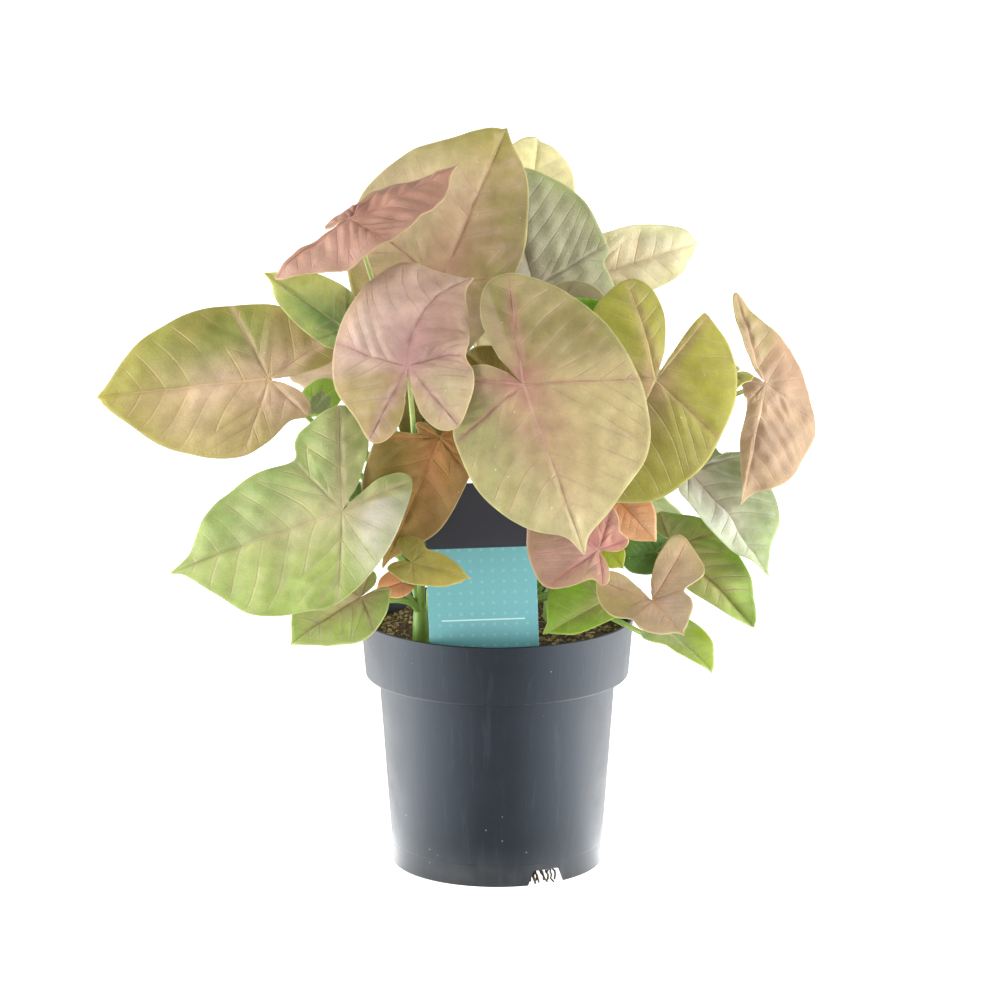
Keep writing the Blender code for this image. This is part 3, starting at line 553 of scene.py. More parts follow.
LOOKS = {
    # Front leaves.
    "front_centre": Look("#9a966a", left="#aea076", heart="#a0716a", right_lobe="#9c8870",
                         left_lobe="#7e744a", rim="#918e5c", tip="#cec29c", vein="#c09a8c",
                         stripe="#b0a17a", stripes=0.45, relief=0.7),
    "front_pink": Look("#9c8072", left="#bba396", heart="#a88480", right_lobe="#b0a482",
                       left_lobe="#8a8048", rim="#a88e6c", vein="#a8857e",
                       stripe="#b8a08e", stripes=0.5, relief=0.9),
    "orange_hanging": Look("#7c703c", left="#987850", heart="#b07c56", right_lobe="#7c7038",
                           left_lobe="#b08060", rim="#9a8058", tip="#86702f", vein="#b88c5c",
                           stripe="#98824c", stripes=0.5, relief=0.6),
    "olive_tip": Look("#a2964e", tip="#948c44", vein="#a8a068"),
    "pink_low": Look("#c49688", left="#86705a", heart="#b07870", right_lobe="#b8877a",
                     left_lobe="#8c8052", rim="#b8947c", vein="#bb8d88", stripe="#b8938a",
                     stripes=0.5, relief=0.9),
    # Its olive hue is its own; its darkness is painted shade of the foliage round it.
    "centre_shade": Look("#82743c", vein="#9a8c50", heart="#8e7048"),

    # Left leaves.
    "left_long": Look("#7e8442", left="#b0a078", heart="#ccb09c", right_lobe="#93835a",
                      left_lobe="#ab907f", rim="#968f48", tip="#9a9648", vein="#cdb48c",
                      stripe="#a0905f", stripes=0.5, relief=0.45),
    "left_low": Look("#84975c", left="#90a05a", heart="#b0a686", right_lobe="#8c8e60",
                     left_lobe="#c0bcb0", rim="#8c9c5c", tip="#8ea45c", vein="#b8a488",
                     stripe="#aaae7a", stripes=0.6, relief=0.7),
    "left_rim": Look("#a4b868", heart="#b29d80", rim="#88a052", vein="#b39778",
                     stripe="#b4b488", stripes=0.6, relief=0.6),
    # Its right side is lighter than its pigment: painted light against the shade that falls on it.
    "left_curl": Look("#aeae6c", left="#92a060", heart="#5f7f48", right_lobe="#5c7a48",
                      left_lobe="#54744a", tip="#c0bc64", rim="#a8aa5c", vein="#b6b680",
                      stripe="#b0b684", stripes=0.6, relief=0.8),
    "left_sinus": Look("#5c7a3c", vein="#7f9a58"),
    # These two have an olive hue of their own; their darkness is painted shade of the inner
    # foliage.
    "left_shade": Look("#6e6c3a", vein="#8c8450"),
    "middle_shade": Look("#6c6a34", heart="#846a4c", vein="#8c8450", stripe="#7f7444"),
    "soil_salmon": Look("#dca07c", rim="#e3b48c", vein="#cf8f74"),
    "sprig_bright": Look("#93b254", rim="#a3c060", vein="#b7cb80"),
    "sprig_grey": Look("#8f9f78", rim="#9aa878", vein="#b9c29c"),

    # Top leaves.
    "pink_upper": Look("#987666", heart="#a8806e", right_lobe="#b59484", left_lobe="#b39082",
                       rim="#a38270", tip="#9c7c64", vein="#a47c74", stripe="#9c7668",
                       stripes=0.6, relief=1.0),
    "top_large": Look("#8e8652", left="#b4a684", heart="#b4927c", right_lobe="#9a8a70",
                      left_lobe="#8c7f50", rim="#8c8650", tip="#98904e", vein="#bc9a84",
                      stripe="#b8a286", stripes=0.7, relief=0.6),
    "top_grey": Look("#908f70", left="#939078", heart="#9a9080", right_lobe="#8f8c76",
                     rim="#7e9240", tip="#7f8c40", vein="#a4a48a", stripe="#a09f84",
                     stripes=0.4, relief=0.45),
    "brown_curl": Look("#8a8262", heart="#7a6c54", rim="#938c66", vein="#a89c7c"),
    "pale_top": Look("#cfc898", rim="#d6cf9e", vein="#dcd6b0", stripe="#d8d0a8", stripes=0.5),
    "pale_right": Look("#c0be9c", left="#c0bea0", heart="#c8b898", rim="#c8c68c",
                       vein="#c4b090", stripe="#cabc9c", stripes=0.6, relief=0.6),
    # Its green is its own; its dark heart and dark stripes are painted shadow of the leaf over it.
    "shiny_small": Look("#5f8c2c", left="#6f9c34", heart="#4a4a26", rim="#6b9a34",
                        vein="#7f9c48", stripe="#4c4a28", stripes=0.5, relief=0.7),

    # Right leaves.
    "right_olive": Look("#8a8646", left="#9a964e", heart="#a08468", right_lobe="#9a9848",
                        left_lobe="#9e9a4a", rim="#9a964a", tip="#8c8c42", vein="#c4b884",
                        stripe="#968c5c", stripes=0.35, relief=0.35),
    "right_arch": Look("#939548", rim="#a39c54", vein="#b5b070"),
    "right_drop": Look("#9c8c6c", left="#a08870", heart="#a88c78", right_lobe="#9c965c",
                       left_lobe="#a08068", rim="#a08464", tip="#a08a6c", vein="#cdb49c",
                       stripe="#b0987c", stripes=0.8, relief=0.9),
    # Over its pale pigment, its right half is painted lighter and its left half painted darker, as
    # the light falls.
    "right_pale": Look("#d8dfd0", left="#707c4c", heart="#ccc4b8", right_lobe="#b4b8a2",
                       left_lobe="#8aa060", rim="#90a468", tip="#90a868", vein="#a8988a",
                       stripe="#b4b89c", stripes=0.6, relief=0.6),
    # Its colours are lighter than its pigment: painted light against the shadow of the leaves over
    # it.
    "right_green": Look("#a6b466", left="#90b04e", heart="#a89c6c", right_lobe="#a2a684",
                        left_lobe="#8ca468", rim="#7ba040", tip="#7ba044", vein="#ad956c",
                        stripe="#aba67c", stripes=0.55, relief=0.55),
    "right_small": Look("#a4907a", left="#a89a88", heart="#a88c74", right_lobe="#988a5a",
                        left_lobe="#9c8868", rim="#9c8e58", vein="#b8956a", stripe="#b8a08a",
                        stripes=0.4, relief=0.5),
    "right_rim": Look("#9caf5c", left="#9fb450", heart="#9cab84", right_lobe="#98a888",
                      left_lobe="#93aa78", rim="#8ea93c", vein="#cdc796"),
    # Its green hue is its own; its darkness is painted shade of the foliage round it.
    "dark_right": Look("#56743a", rim="#648440", vein="#6c8a4c"),
    "orange_point": Look("#d4a888", left="#d0ac90", rim="#e3ae7c", vein="#d08f62"),
    "lime_shade": Look("#8a9838", rim="#9aa23c", vein="#a3aa54"),
    "green_rim": Look("#7a9c36", left="#83a53c", heart="#9a9462", right_lobe="#8c8c58",
                      rim="#7fa23c", vein="#b3b07c", stripe="#93aa5c", stripes=0.5),

    # Leaves at the back, which the picture doesn't show.
    "back_high": Look("#a08e62", heart="#c09682", rim="#a09c5c", vein="#cd9c86",
                      stripe="#bca680", stripes=0.5, relief=0.6),
    "back_middle": Look("#98a85c", heart="#bda488", rim="#86a54c", vein="#b5947c",
                        stripe="#bcb98c", stripes=0.6, relief=0.6),
    "back_low": Look("#84a044", heart="#a59c70", rim="#7a9c3c", vein="#b8ac7c",
                     stripe="#a3b070", stripes=0.5),
    "back_left": Look("#c09a84", heart="#b98682", rim="#c09c78", vein="#9a6a6c",
                      stripe="#d0aa98", stripes=0.5, relief=0.7),
    "back_low_left": Look("#9aac5e", heart="#b9a888", rim="#84a54a", vein="#ad8a6c",
                          stripe="#bdbb8c", stripes=0.6),
    "back_right": Look("#a29c56", heart="#bd987c", rim="#a3a04e", vein="#cdb984",
                       stripe="#b9a878", stripes=0.4),
    "back_low_right": Look("#8ba34c", heart="#b09c78", rim="#7c9c3e", vein="#b59c78",
                           stripe="#b0b27c", stripes=0.5),
}
HEART_TINT, HEART_WIDTH, HEART_AHEAD, HEART_BEHIND = 0.9, 0.17, 0.55, 0.16
VEIN_GLOW_TINT, VEIN_GLOW_WIDTH = 0.6, 11.0
RIM_TINT, RIM_MM = 0.4, 11.0


def eased(value, low, high):
    t = np.clip((value - low) / (high - low), 0, 1)
    return t * t * (3 - 2 * t)


def blended(colours, colour, share):
    if colour is None:
        return colours
    return colours + (np.array(linear(colour)) - colours) * share[..., None]


def leaf_colours(look, flat, margin_mm, rib):
    """The pigment at each point, with the painted shade and light that a few looks hold, in linear
    light.
    """
    across, along = flat[..., 0], flat[..., 1]
    left = eased(-across, -0.012, 0.012)
    lobe = eased(-along, -0.10, 0.12)
    heart = np.exp(-(across / HEART_WIDTH) ** 2 - (np.maximum(along, 0) / HEART_AHEAD) ** 2
                   - (np.minimum(along, 0) / HEART_BEHIND) ** 2)
    colours = np.zeros(flat.shape[:-1] + (3,)) + linear(look.right)
    colours = blended(colours, look.left, left)
    colours = blended(colours, look.right_lobe, lobe * (1 - left))
    colours = blended(colours, look.left_lobe, lobe * left)
    colours = blended(colours, look.tip, eased(along, 0.5, 1.0))
    colours = blended(colours, look.rim, RIM_TINT * eased(-margin_mm, -RIM_MM, -0.5))
    beside_veins = np.exp(-(rib / VEIN_GLOW_WIDTH) ** 2) * eased(-along, -0.95, -0.1)
    return blended(colours, look.heart,
                   np.maximum(HEART_TINT * heart, VEIN_GLOW_TINT * beside_veins))


print("looks:", len(LOOKS))

# %% [markdown]
# ## Leaf material
#
# A syngonium leaf is a thin living blade with a satin skin: light goes into it and comes out
# on the other side, which makes the pale leaves glow, and the veins are sunk lines with their
# own colour. The pigment comes from the mesh as a painted attribute. The material adds what
# is finer than the mesh: the lines of the veins, the net between them in cells 1.6 mm wide,
# a pale line at the edge, cloudy patches about 8 mm across and a few dry specks. The pale
# line is partly the leaf's own pale margin and partly a painted highlight along the edge.

# %% Leaf skin
CELL_MM = 1.6
PATCH_MM = 8.0
CLOUD_MM = 24.0
SPECK_MM = 2.6
SPECK_SHARE = 0.035
# The pale hem: the leaf's own pale margin, with a painted highlight along the edge.
PALE_EDGE_AND_HIGHLIGHT_COLOUR = "#d8d3a0"
UNDERSIDE_COLOUR = "#b7bd9c"
SPECK_COLOUR = "#efe9dc"
STRIPE_PAINT, CLOUD_PAINT = 0.55, 0.5
SIDE_VEIN_PAINT, MAIN_VEIN_PAINT = 0.32, 0.62
EDGE_AND_HIGHLIGHT_PAINT, SPECK_PAINT = 0.25, 0.6
SKIN_SATURATION = 1.08
SKIN_DARKEST, SKIN_BRIGHTEST = 0.84, 1.12
MAIN_VEIN_DEPTH, SIDE_VEIN_DEPTH, NET_DEPTH = 0.6, 0.5, 0.12
SKIN_RELIEF_MM = 0.6
ROUGHNESS_SPREAD = 0.07


def leaf_skin(name, roughness, paleness, vein_depth):
    """Pigment, veins and pores of one side of a blade. A negative depth raises the veins."""
    made, tree, shader = new_material(
        name, IOR=1.42, Specular_IOR_Level=0.35, Subsurface_Weight=0.30,
        Subsurface_Radius=(1.0, 0.85, 0.35), Subsurface_Scale=0.0012)
    place = add_node(tree, "TexCoord").outputs["Object"]
    tint, vein_tint, stripe_tint = (
        add_node(tree, "Attribute", attribute_name=each).outputs["Color"]
        for each in ("tint", "vein_tint", "stripe_tint"))
    stripes, rib, count, edge = (
        add_node(tree, "Attribute", attribute_name=each).outputs["Fac"]
        for each in ("stripes", "rib", "side_vein", "margin"))

    # Masks: 1 on a main vein, on a side vein, in the soft stripe round it and at the edge.
    main = add_node(tree, "MapRange", {0: rib, 1: 1.6, 2: 0.3},
                    interpolation_type="SMOOTHSTEP").outputs[0]
    off = add_node(tree, "Math", {0: count, 1: 0.5}, operation="PINGPONG").outputs[0]
    inside = add_node(tree, "MapRange", {0: edge, 1: 1.0, 2: 4.0},
                      interpolation_type="SMOOTHSTEP").outputs[0]
    line = add_node(tree, "MapRange", {0: off, 1: 0.07, 2: 0.01},
                    interpolation_type="SMOOTHSTEP").outputs[0]
    line = add_node(tree, "Math", {0: line, 1: inside}, operation="MULTIPLY").outputs[0]
    band = add_node(tree, "MapRange", {0: off, 1: 0.42, 2: 0.0},
                    interpolation_type="SMOOTHSTEP").outputs[0]
    for share in (stripes, inside):
        band = add_node(tree, "Math", {0: band, 1: share}, operation="MULTIPLY").outputs[0]
    # The hem mask: the pale margin, which also carries a painted highlight along the edge.
    hem_and_highlight = add_node(tree, "MapRange", {0: edge, 1: 0.7, 2: 0.2},
                   interpolation_type="SMOOTHSTEP").outputs[0]
    cells = add_node(tree, "TexVoronoi", {"Vector": place, "Scale": 1 / (CELL_MM * MM)},
                     feature="DISTANCE_TO_EDGE").outputs["Distance"]
    net = add_node(tree, "MapRange", {0: cells, 1: 0.12, 2: 0.0}).outputs[0]
    patches = add_node(tree, "TexNoise", {"Vector": place, "Scale": 1 / (PATCH_MM * MM),
                                          "Detail": 5.0, "Roughness": 0.6}).outputs[0]
    clouds = add_node(tree, "TexNoise", {"Vector": place, "Scale": 1 / (CLOUD_MM * MM),
                                         "Detail": 3.0, "Roughness": 0.55}).outputs[0]
    cloud = add_node(tree, "MapRange", {
        0: clouds, 1: 0.42, 2: 0.68, 3: 0.0, 4: CLOUD_PAINT}).outputs[0]
    uneven = add_node(tree, "MapRange", {0: clouds, 1: 0.35, 2: 0.6, 3: 0.15, 4: 1.0}).outputs[0]
    specks = add_node(tree, "TexVoronoi", {"Vector": place, "Scale": 1 / (SPECK_MM * MM)})
    rare = add_node(tree, "SeparateColor", {0: specks.outputs["Color"]}).outputs[0]
    rare = add_node(tree, "Math", {0: rare, 1: 1 - SPECK_SHARE},
                    operation="GREATER_THAN").outputs[0]
    speck = add_node(tree, "MapRange", {0: specks.outputs["Distance"], 1: 0.13, 2: 0.06}).outputs[0]
    speck = add_node(tree, "Math", {0: speck, 1: rare}, operation="MULTIPLY").outputs[0]

    # Pigment, from the broad to the fine, with a painted highlight laid in the pale hem.
    colour = add_node(tree, "Mix", {0: paleness, 6: tint, 7: (*linear(UNDERSIDE_COLOUR), 1)},
                      data_type="RGBA").outputs[2]
    band = add_node(tree, "Math", {0: band, 1: uneven}, operation="MULTIPLY").outputs[0]
    band = add_node(tree, "Math", {0: band, 1: STRIPE_PAINT, 2: cloud},
                    operation="MULTIPLY_ADD").outputs[0]
    colour = add_node(tree, "Mix", {0: band, 6: colour, 7: stripe_tint},
                      data_type="RGBA").outputs[2]
    line = add_node(tree, "Math", {0: line, 1: uneven}, operation="MULTIPLY").outputs[0]
    colour = painted(tree, colour, vein_tint, line, SIDE_VEIN_PAINT)
    colour = painted(tree, colour, vein_tint, main, MAIN_VEIN_PAINT)
    colour = painted(tree, colour, PALE_EDGE_AND_HIGHLIGHT_COLOUR, hem_and_highlight, EDGE_AND_HIGHLIGHT_PAINT)
    colour = painted(tree, colour, SPECK_COLOUR, speck, SPECK_PAINT)
    value = add_node(tree, "MapRange", {0: patches, 1: 0.3, 2: 0.7, 3: SKIN_DARKEST,
                                        4: SKIN_BRIGHTEST}).outputs[0]
    dim = add_node(tree, "Math", {0: net, 1: -0.05, 2: value}, operation="MULTIPLY_ADD").outputs[0]
    colour = add_node(tree, "HueSaturation", {"Saturation": SKIN_SATURATION, "Value": dim,
                                              "Color": colour}).outputs[0]
    tree.links.new(colour, shader.inputs["Base Color"])

    # Sunk veins, fine pores and the low swell of the skin.
    height = add_node(tree, "Math", {0: main, 1: MAIN_VEIN_DEPTH}, operation="MULTIPLY").outputs[0]
    for mask, depth in ((line, SIDE_VEIN_DEPTH), (net, NET_DEPTH)):
        height = add_node(tree, "Math", {0: mask, 1: depth, 2: height},
                          operation="MULTIPLY_ADD").outputs[0]
    height = add_node(tree, "Math", {0: height, 1: -vein_depth, 2: patches},
                      operation="MULTIPLY_ADD").outputs[0]
    bump = add_node(tree, "Bump", {"Strength": 0.8, "Distance": SKIN_RELIEF_MM * MM,
                                   "Height": height})
    tree.links.new(bump.outputs[0], shader.inputs["Normal"])
    rough = add_node(tree, "MapRange", {
        0: patches, 1: 0.3, 2: 0.7, 3: roughness - ROUGHNESS_SPREAD,
        4: roughness + ROUGHNESS_SPREAD}).outputs[0]
    tree.links.new(rough, shader.inputs["Roughness"])
    return made


upper_skin = leaf_skin("living_leaf_satin_upper_skin", 0.44, 0.0, 1.0)
under_skin = leaf_skin("living_leaf_matt_underside", 0.58, 0.4, -1.0)
glossy_skin = leaf_skin("living_leaf_glossy_young_skin", 0.26, 0.0, 1.0)
print("leaf skins:", upper_skin.name, under_skin.name, glossy_skin.name)

# %% [markdown]
# ## Blades
#
# Each blade starts as a flat grid. Its columns become rays from the joint to the margin and
# its rows become rings, so the main veins lie exactly on columns. The leaf's own functions
# then bend the grid to its place. The relief is what a hand feels on the leaf: the blade is
# sunk along its main veins and puffed up between the side veins. Solidify gives it a wall,
# as thin as a leaf can be without the two sides meeting.

# %% Blade meshes
LARGE_BLADE_MM = 45.0
LARGE_STEPS, LARGE_RINGS = 8, 28
SMALL_STEPS, SMALL_RINGS = 4, 16
BLADE_WALL_MM = 0.5
MARGIN_WAVES = 5
MARGIN_BULGE = 0.013
VEIN_SINK_MM = 0.55
SWELL_MM = 1.5
SWELL_WIDTH_MM = 17.0
PUCKER_MM = 0.7
PUCKER_WIDTH_MM = 7.0
GLOSSY_LEAVES = ("shiny_small", "sprig_grey", "left_sinus", "dark_right")


def margin_wave(leaf, way):
    """How far up a wave the margin is, from -1 to 1, at a share of the way round it."""
    start = sum(map(abs, leaf.joint)) % math.tau
    return np.sin(way * math.pi) * np.sin(start + way * MARGIN_WAVES * math.tau)


def uneven_margin(leaf, margin):
    """The margin with the small bulges and nicks that a grown leaf has."""
    start = sum(map(abs, leaf.tip)) % math.tau
    way = np.linspace(0, math.tau, len(margin))
    bulge = np.sin(7 * way + start) + 0.7 * np.sin(12 * way + 2 * start)
    return margin * (1 + MARGIN_BULGE * bulge * np.sin(way / 2))[:, None]


def add_attribute(mesh, name, values):
    kind, field = ("FLOAT_COLOR", "color") if values.ndim == 2 else ("FLOAT", "value")
    if kind == "FLOAT_COLOR":
        values = np.hstack([values, np.ones((len(values), 1))])
    layer = mesh.attributes.new(name, kind, "POINT")
    layer.data.foreach_set(field, values.astype(np.float32).ravel())


def blade_mesh(leaf, look):
    length = blade_frame(leaf)[0]
    large = length > LARGE_BLADE_MM
    steps, rings = (LARGE_STEPS, LARGE_RINGS) if large else (SMALL_STEPS, SMALL_RINGS)
    margin = uneven_margin(leaf, margin_of(leaf, steps))
    last = len(margin) - 1
    bm = bmesh.new()
    bmesh.ops.create_grid(bm, x_segments=last, y_segments=rings, size=0.5)
    mesh = mesh_of(bm, leaf.name)
    grid = np.empty(len(mesh.vertices) * 3, np.float32)
    mesh.vertices.foreach_get("co", grid)
    grid = grid.reshape(-1, 3)
    column = np.rint((0.5 - grid[:, 0]) * last).astype(int)
    rim = np.clip(grid[:, 1] + 0.5, 0, 1).astype(float)
    flat = margin[column] * rim[:, None]
    right = column <= SPANS * steps

    rib, count = vein_places(leaf, flat, margin, steps)
    off_margin = np.full(len(flat), np.inf)
    for point in margin:
        off_margin = np.minimum(off_margin, np.hypot(*(flat - point).T) * length)
    puff = 0.5 - 0.5 * np.cos(count * math.tau)
    puff *= eased(off_margin, 0.0, 6.0) * eased(rib, 0.0, 6.0)
    lift = look.relief * puff - VEIN_SINK_MM * np.exp(-(rib / 4.0) ** 2) * eased(off_margin, 0, 5)
    uneven = SWELL_MM * swell(flat * length, SWELL_WIDTH_MM, leaf.joint[2])
    uneven += PUCKER_MM * swell(flat * length, PUCKER_WIDTH_MM, leaf.tip[2])
    lift += (0.4 + look.relief) * uneven
    lift *= min(length / LARGE_BLADE_MM, 1.0) * eased(rim, 0.0, 0.25)
    wave = leaf.wave * min(length / LARGE_BLADE_MM, 1.0)
    lift += wave * rim ** 2 * margin_wave(leaf, column / last)
    places = bent(leaf, flat, right, lift)
    mesh.vertices.foreach_set("co", (places * MM).astype(np.float32).ravel())

    add_attribute(mesh, "tint", leaf_colours(look, flat, off_margin, rib))
    add_attribute(mesh, "vein_tint", np.zeros((len(flat), 3)) + linear(look.vein))
    stripe = look.stripe or look.vein
    add_attribute(mesh, "stripe_tint", np.zeros((len(flat), 3)) + linear(stripe))
    add_attribute(mesh, "stripes", np.full(len(flat), look.stripes))
    add_attribute(mesh, "rib", rib)
    add_attribute(mesh, "side_vein", count)
    add_attribute(mesh, "margin", off_margin)
    return mesh


triangles = 0
for leaf in LEAVES:
    mesh = blade_mesh(leaf, LOOKS[leaf.name])
    bm = bmesh.new()
    bm.from_mesh(mesh)
    bmesh.ops.remove_doubles(bm, verts=bm.verts, dist=1e-7)
    bm.to_mesh(mesh)
    bm.free()
    mesh.shade_smooth()
    skin = glossy_skin if leaf.name in GLOSSY_LEAVES else upper_skin
    blade = place_piece("blade_" + leaf.name, mesh, "leaf_" + leaf.name, [skin, under_skin])
    wall = blade.modifiers.new("wall", "SOLIDIFY")
    wall.thickness = BLADE_WALL_MM * MM
    wall.offset = -1
    wall.material_offset = 1
    triangles += 4 * len(mesh.polygons)
print("blades:", len(LEAVES), "with", triangles, "triangles")

# %% [markdown]
# ## Stalks
#
# Each leaf has its own stalk, a petiole, which springs from the short stem of its young plant,
# rises, arches over and meets the blade from below. A stalk is made by pushing a small ring
# along its path: the end face is extruded again and again, and each new ring is turned and
# shrunk to fit the path. Extruding leaves the face that it started from, so each one that
# would lie inside the stalk is taken out. The stem is a thicker ring pushed straight up.

# %% Stalks
STEM_R = 3.6
STEM_FOOT_Z = 60.0
STEM_TOP_Z = 122.0
STALK_SIDES = 12
STALK_STEPS = 22
STALK_BASE_R = 2.1
STALK_END_R = 0.9
STALK_ROOT = 8.0
STALK_RISE = 0.45
STALK_ARCH = 0.3
STALK_ARCH_MAX = 26.0
STALK_GAP = 0.3


def stalk_path(leaf):
    """Points in mm from inside the stem to the underside of the blade, and the radii."""
    normal = Vector(blade_frame(leaf)[1][:, 2])
    end = Vector(leaf.joint) - normal * (BLADE_WALL_MM + STALK_GAP)
    start = Vector((*CROWNS[leaf.crown], STEM_TOP_Z - STALK_ROOT))
    reach = (end - start).length
    risen = start + Vector((0, 0, reach * STALK_RISE))
    arched = end - normal * min(reach * STALK_ARCH, STALK_ARCH_MAX)
    for i in range(STALK_STEPS):
        t = i / (STALK_STEPS - 1)
        u = 1 - t
        point = u ** 3 * start + 3 * u * u * t * risen + 3 * u * t * t * arched + t ** 3 * end
        yield point, STALK_BASE_R + (STALK_END_R - STALK_BASE_R) * t ** 0.6


def push_along(bm, path, sides, way_layer):
    """Pushes a ring along a path of (point, radius) in mm, and marks how far along it is."""
    path = list(path)
    facing = (path[1][0] - path[0][0]).to_track_quat("Z", "Y")
    before = Matrix.Identity(4)
    made = bmesh.ops.create_circle(bm, cap_ends=True, segments=sides, radius=1.0)
    ring = made["verts"]
    cap = ring[0].link_faces[0]
    for i, (point, radius) in enumerate(path):
        low, high = path[max(i - 1, 0)][0], path[min(i + 1, len(path) - 1)][0]
        ahead = (high - low).normalized()
        facing = (facing @ Vector((0, 0, 1))).rotation_difference(ahead) @ facing
        place = (Matrix.Translation(point * MM) @ facing.to_matrix().to_4x4()
                 @ Matrix.Scale(radius * MM, 4))
        if i:
            grown = bmesh.ops.extrude_face_region(bm, geom=[cap])["geom"]
            if i > 1:
                bm.faces.remove(cap)
            ring = [part for part in grown if isinstance(part, bmesh.types.BMVert)]
            cap = next(part for part in grown if isinstance(part, bmesh.types.BMFace))
        bmesh.ops.transform(bm, matrix=place @ before.inverted(), verts=ring)
        for vert in ring:
            vert[way_layer] = i / (len(path) - 1)
        before = place


def stem_mesh(crown):
    bm = bmesh.new()
    way = bm.verts.layers.float.new("way")
    x, y = CROWNS[crown]
    low, top = STEM_FOOT_Z, STEM_TOP_Z
    sheath = [(Vector((x, y, z)), r) for z, r in (
        (low, STEM_R * 0.6), (low + 2, STEM_R * 0.95), (low + 30, STEM_R), (top - 12, STEM_R),
        (top - 3, STEM_R * 0.9), (top, STEM_R * 0.5))]
    push_along(bm, sheath, STALK_SIDES, way)
    for vert in bm.verts:
        vert[way] = 0.0
    for leaf in LEAVES:
        if leaf.crown == crown:
            push_along(bm, stalk_path(leaf), STALK_SIDES, way)
    bmesh.ops.recalc_face_normals(bm, faces=bm.faces)
    mesh = mesh_of(bm, "stalks_" + crown)
    mesh.shade_smooth()
    return mesh


# %% [markdown]
# ## Stalk material
#
# A petiole is a smooth juicy stalk. It is green where it leaves the stem and turns pinkish
# cream below the blade, with fine lengthwise streaks and a satin skin that lets light in.

# %% Stalk skin
stalk_skin, tree, shader = new_material(
    "living_petiole_satin_skin", IOR=1.42, Subsurface_Weight=0.25,
    Subsurface_Radius=(1.0, 0.9, 0.4), Subsurface_Scale=0.001, Roughness=0.38)
STREAK_MM = 0.9
place = add_node(tree, "TexCoord").outputs["Object"]
way = add_node(tree, "Attribute", attribute_name="way").outputs["Fac"]
streak_place = add_node(tree, "Mapping", {"Vector": place, "Scale": (1.0, 1.0, 0.12)})
streaks = add_node(tree, "TexNoise", {"Vector": streak_place.outputs[0],
                                      "Scale": 1 / (STREAK_MM * MM), "Detail": 3.0}).outputs[0]
ramp = add_node(tree, "ValToRGB", {0: way})
ramp.color_ramp.elements[0].color = (*linear("#7a9c48"), 1)
ramp.color_ramp.elements[1].color = (*linear("#b9a878"), 1)
middle = ramp.color_ramp.elements.new(0.6)
middle.color = (*linear("#8fae58"), 1)
value = add_node(tree, "MapRange", {0: streaks, 1: 0.3, 2: 0.7, 3: 0.85, 4: 1.12}).outputs[0]
colour = add_node(tree, "HueSaturation", {"Value": value, "Color": ramp.outputs[0]}).outputs[0]
tree.links.new(colour, shader.inputs["Base Color"])
bump = add_node(tree, "Bump", {"Strength": 0.4, "Distance": 0.0003, "Height": streaks})
tree.links.new(bump.outputs[0], shader.inputs["Normal"])

for crown in CROWNS:
    mesh = stem_mesh(crown)
    place_piece("stalks_" + crown, mesh, "stem_" + crown, [stalk_skin])
    print("stalks", crown, "faces:", len(mesh.polygons))

# %% [markdown]
# ## Pot
#
# The pot is injection moulded in one piece. Its collar gives it stiffness and lets pots be
# stacked, its foot line is where the mould closes, and three notches in the foot let water
# out. Half of its section is drawn once and spun round, as on a lathe, with small roundings
# where the mould has them. The notches and the drain holes in the floor are cut with a
# Boolean, and the cutter is removed.

# %% Pot
POT_HEIGHT = 111.0
RIM_R = 60.0
COLLAR_LOW_R = 57.8
COLLAR_LOW_Z = 84.5
BODY_TOP_R = 52.0
FOOT_R = 46.4
WALL = 1.3
FLOOR_Z = 6.0
FOOT_LINE_Z = 10.0
FOOT_LINE_STEP = 0.3
POT_SIDES = 160
NOTCH_ANGLES = (28.0, 148.0, 268.0)
NOTCH_WIDTH = 21.0
NOTCH_TOP_SHARE = 0.6
NOTCH_HEIGHT = 6.6
NOTCH_CENTRE_R = FOOT_R + 4.5
CUT_SPARE = 4.0
DRAIN_HOLE_R = 4.0
DRAIN_RING_R = 24.0
DRAIN_HOLES = 4


def rounded(corner, before, after, radius, steps=4):
    """Points of a small arc that takes the place of a corner between two neighbours."""
    corner, before, after = map(Vector, (corner, before, after))
    first = corner + (before - corner).normalized() * radius
    last = corner + (after - corner).normalized() * radius
    for i in range(steps + 1):
        t = i / steps
        yield (1 - t) ** 2 * first + 2 * t * (1 - t) * corner + t * t * last


def spun(profile, radii, sides):
    """A closed profile of (radius, height) in mm, with its corners rounded, spun round Z."""
    bm = bmesh.new()
    points = []
    for i, corner in enumerate(profile):
        if radii[i]:
            points += rounded(corner, profile[i - 1], profile[(i + 1) % len(profile)], radii[i])
        else:
            points.append(Vector(corner))
    ring = [bm.verts.new((p[0] * MM, 0.0, p[1] * MM)) for p in points]
    edges = [bm.edges.new((a, b)) for a, b in zip(ring, ring[1:] + ring[:1])]
    bmesh.ops.spin(bm, geom=ring + edges, cent=(0, 0, 0), axis=(0, 0, 1), angle=math.tau,
                   steps=sides, use_merge=True)
    bmesh.ops.remove_doubles(bm, verts=bm.verts, dist=1e-6)
    loose = [edge for edge in bm.edges if not edge.link_faces]
    bmesh.ops.delete(bm, geom=loose, context="EDGES")
    bmesh.ops.recalc_face_normals(bm, faces=bm.faces)
    return bm


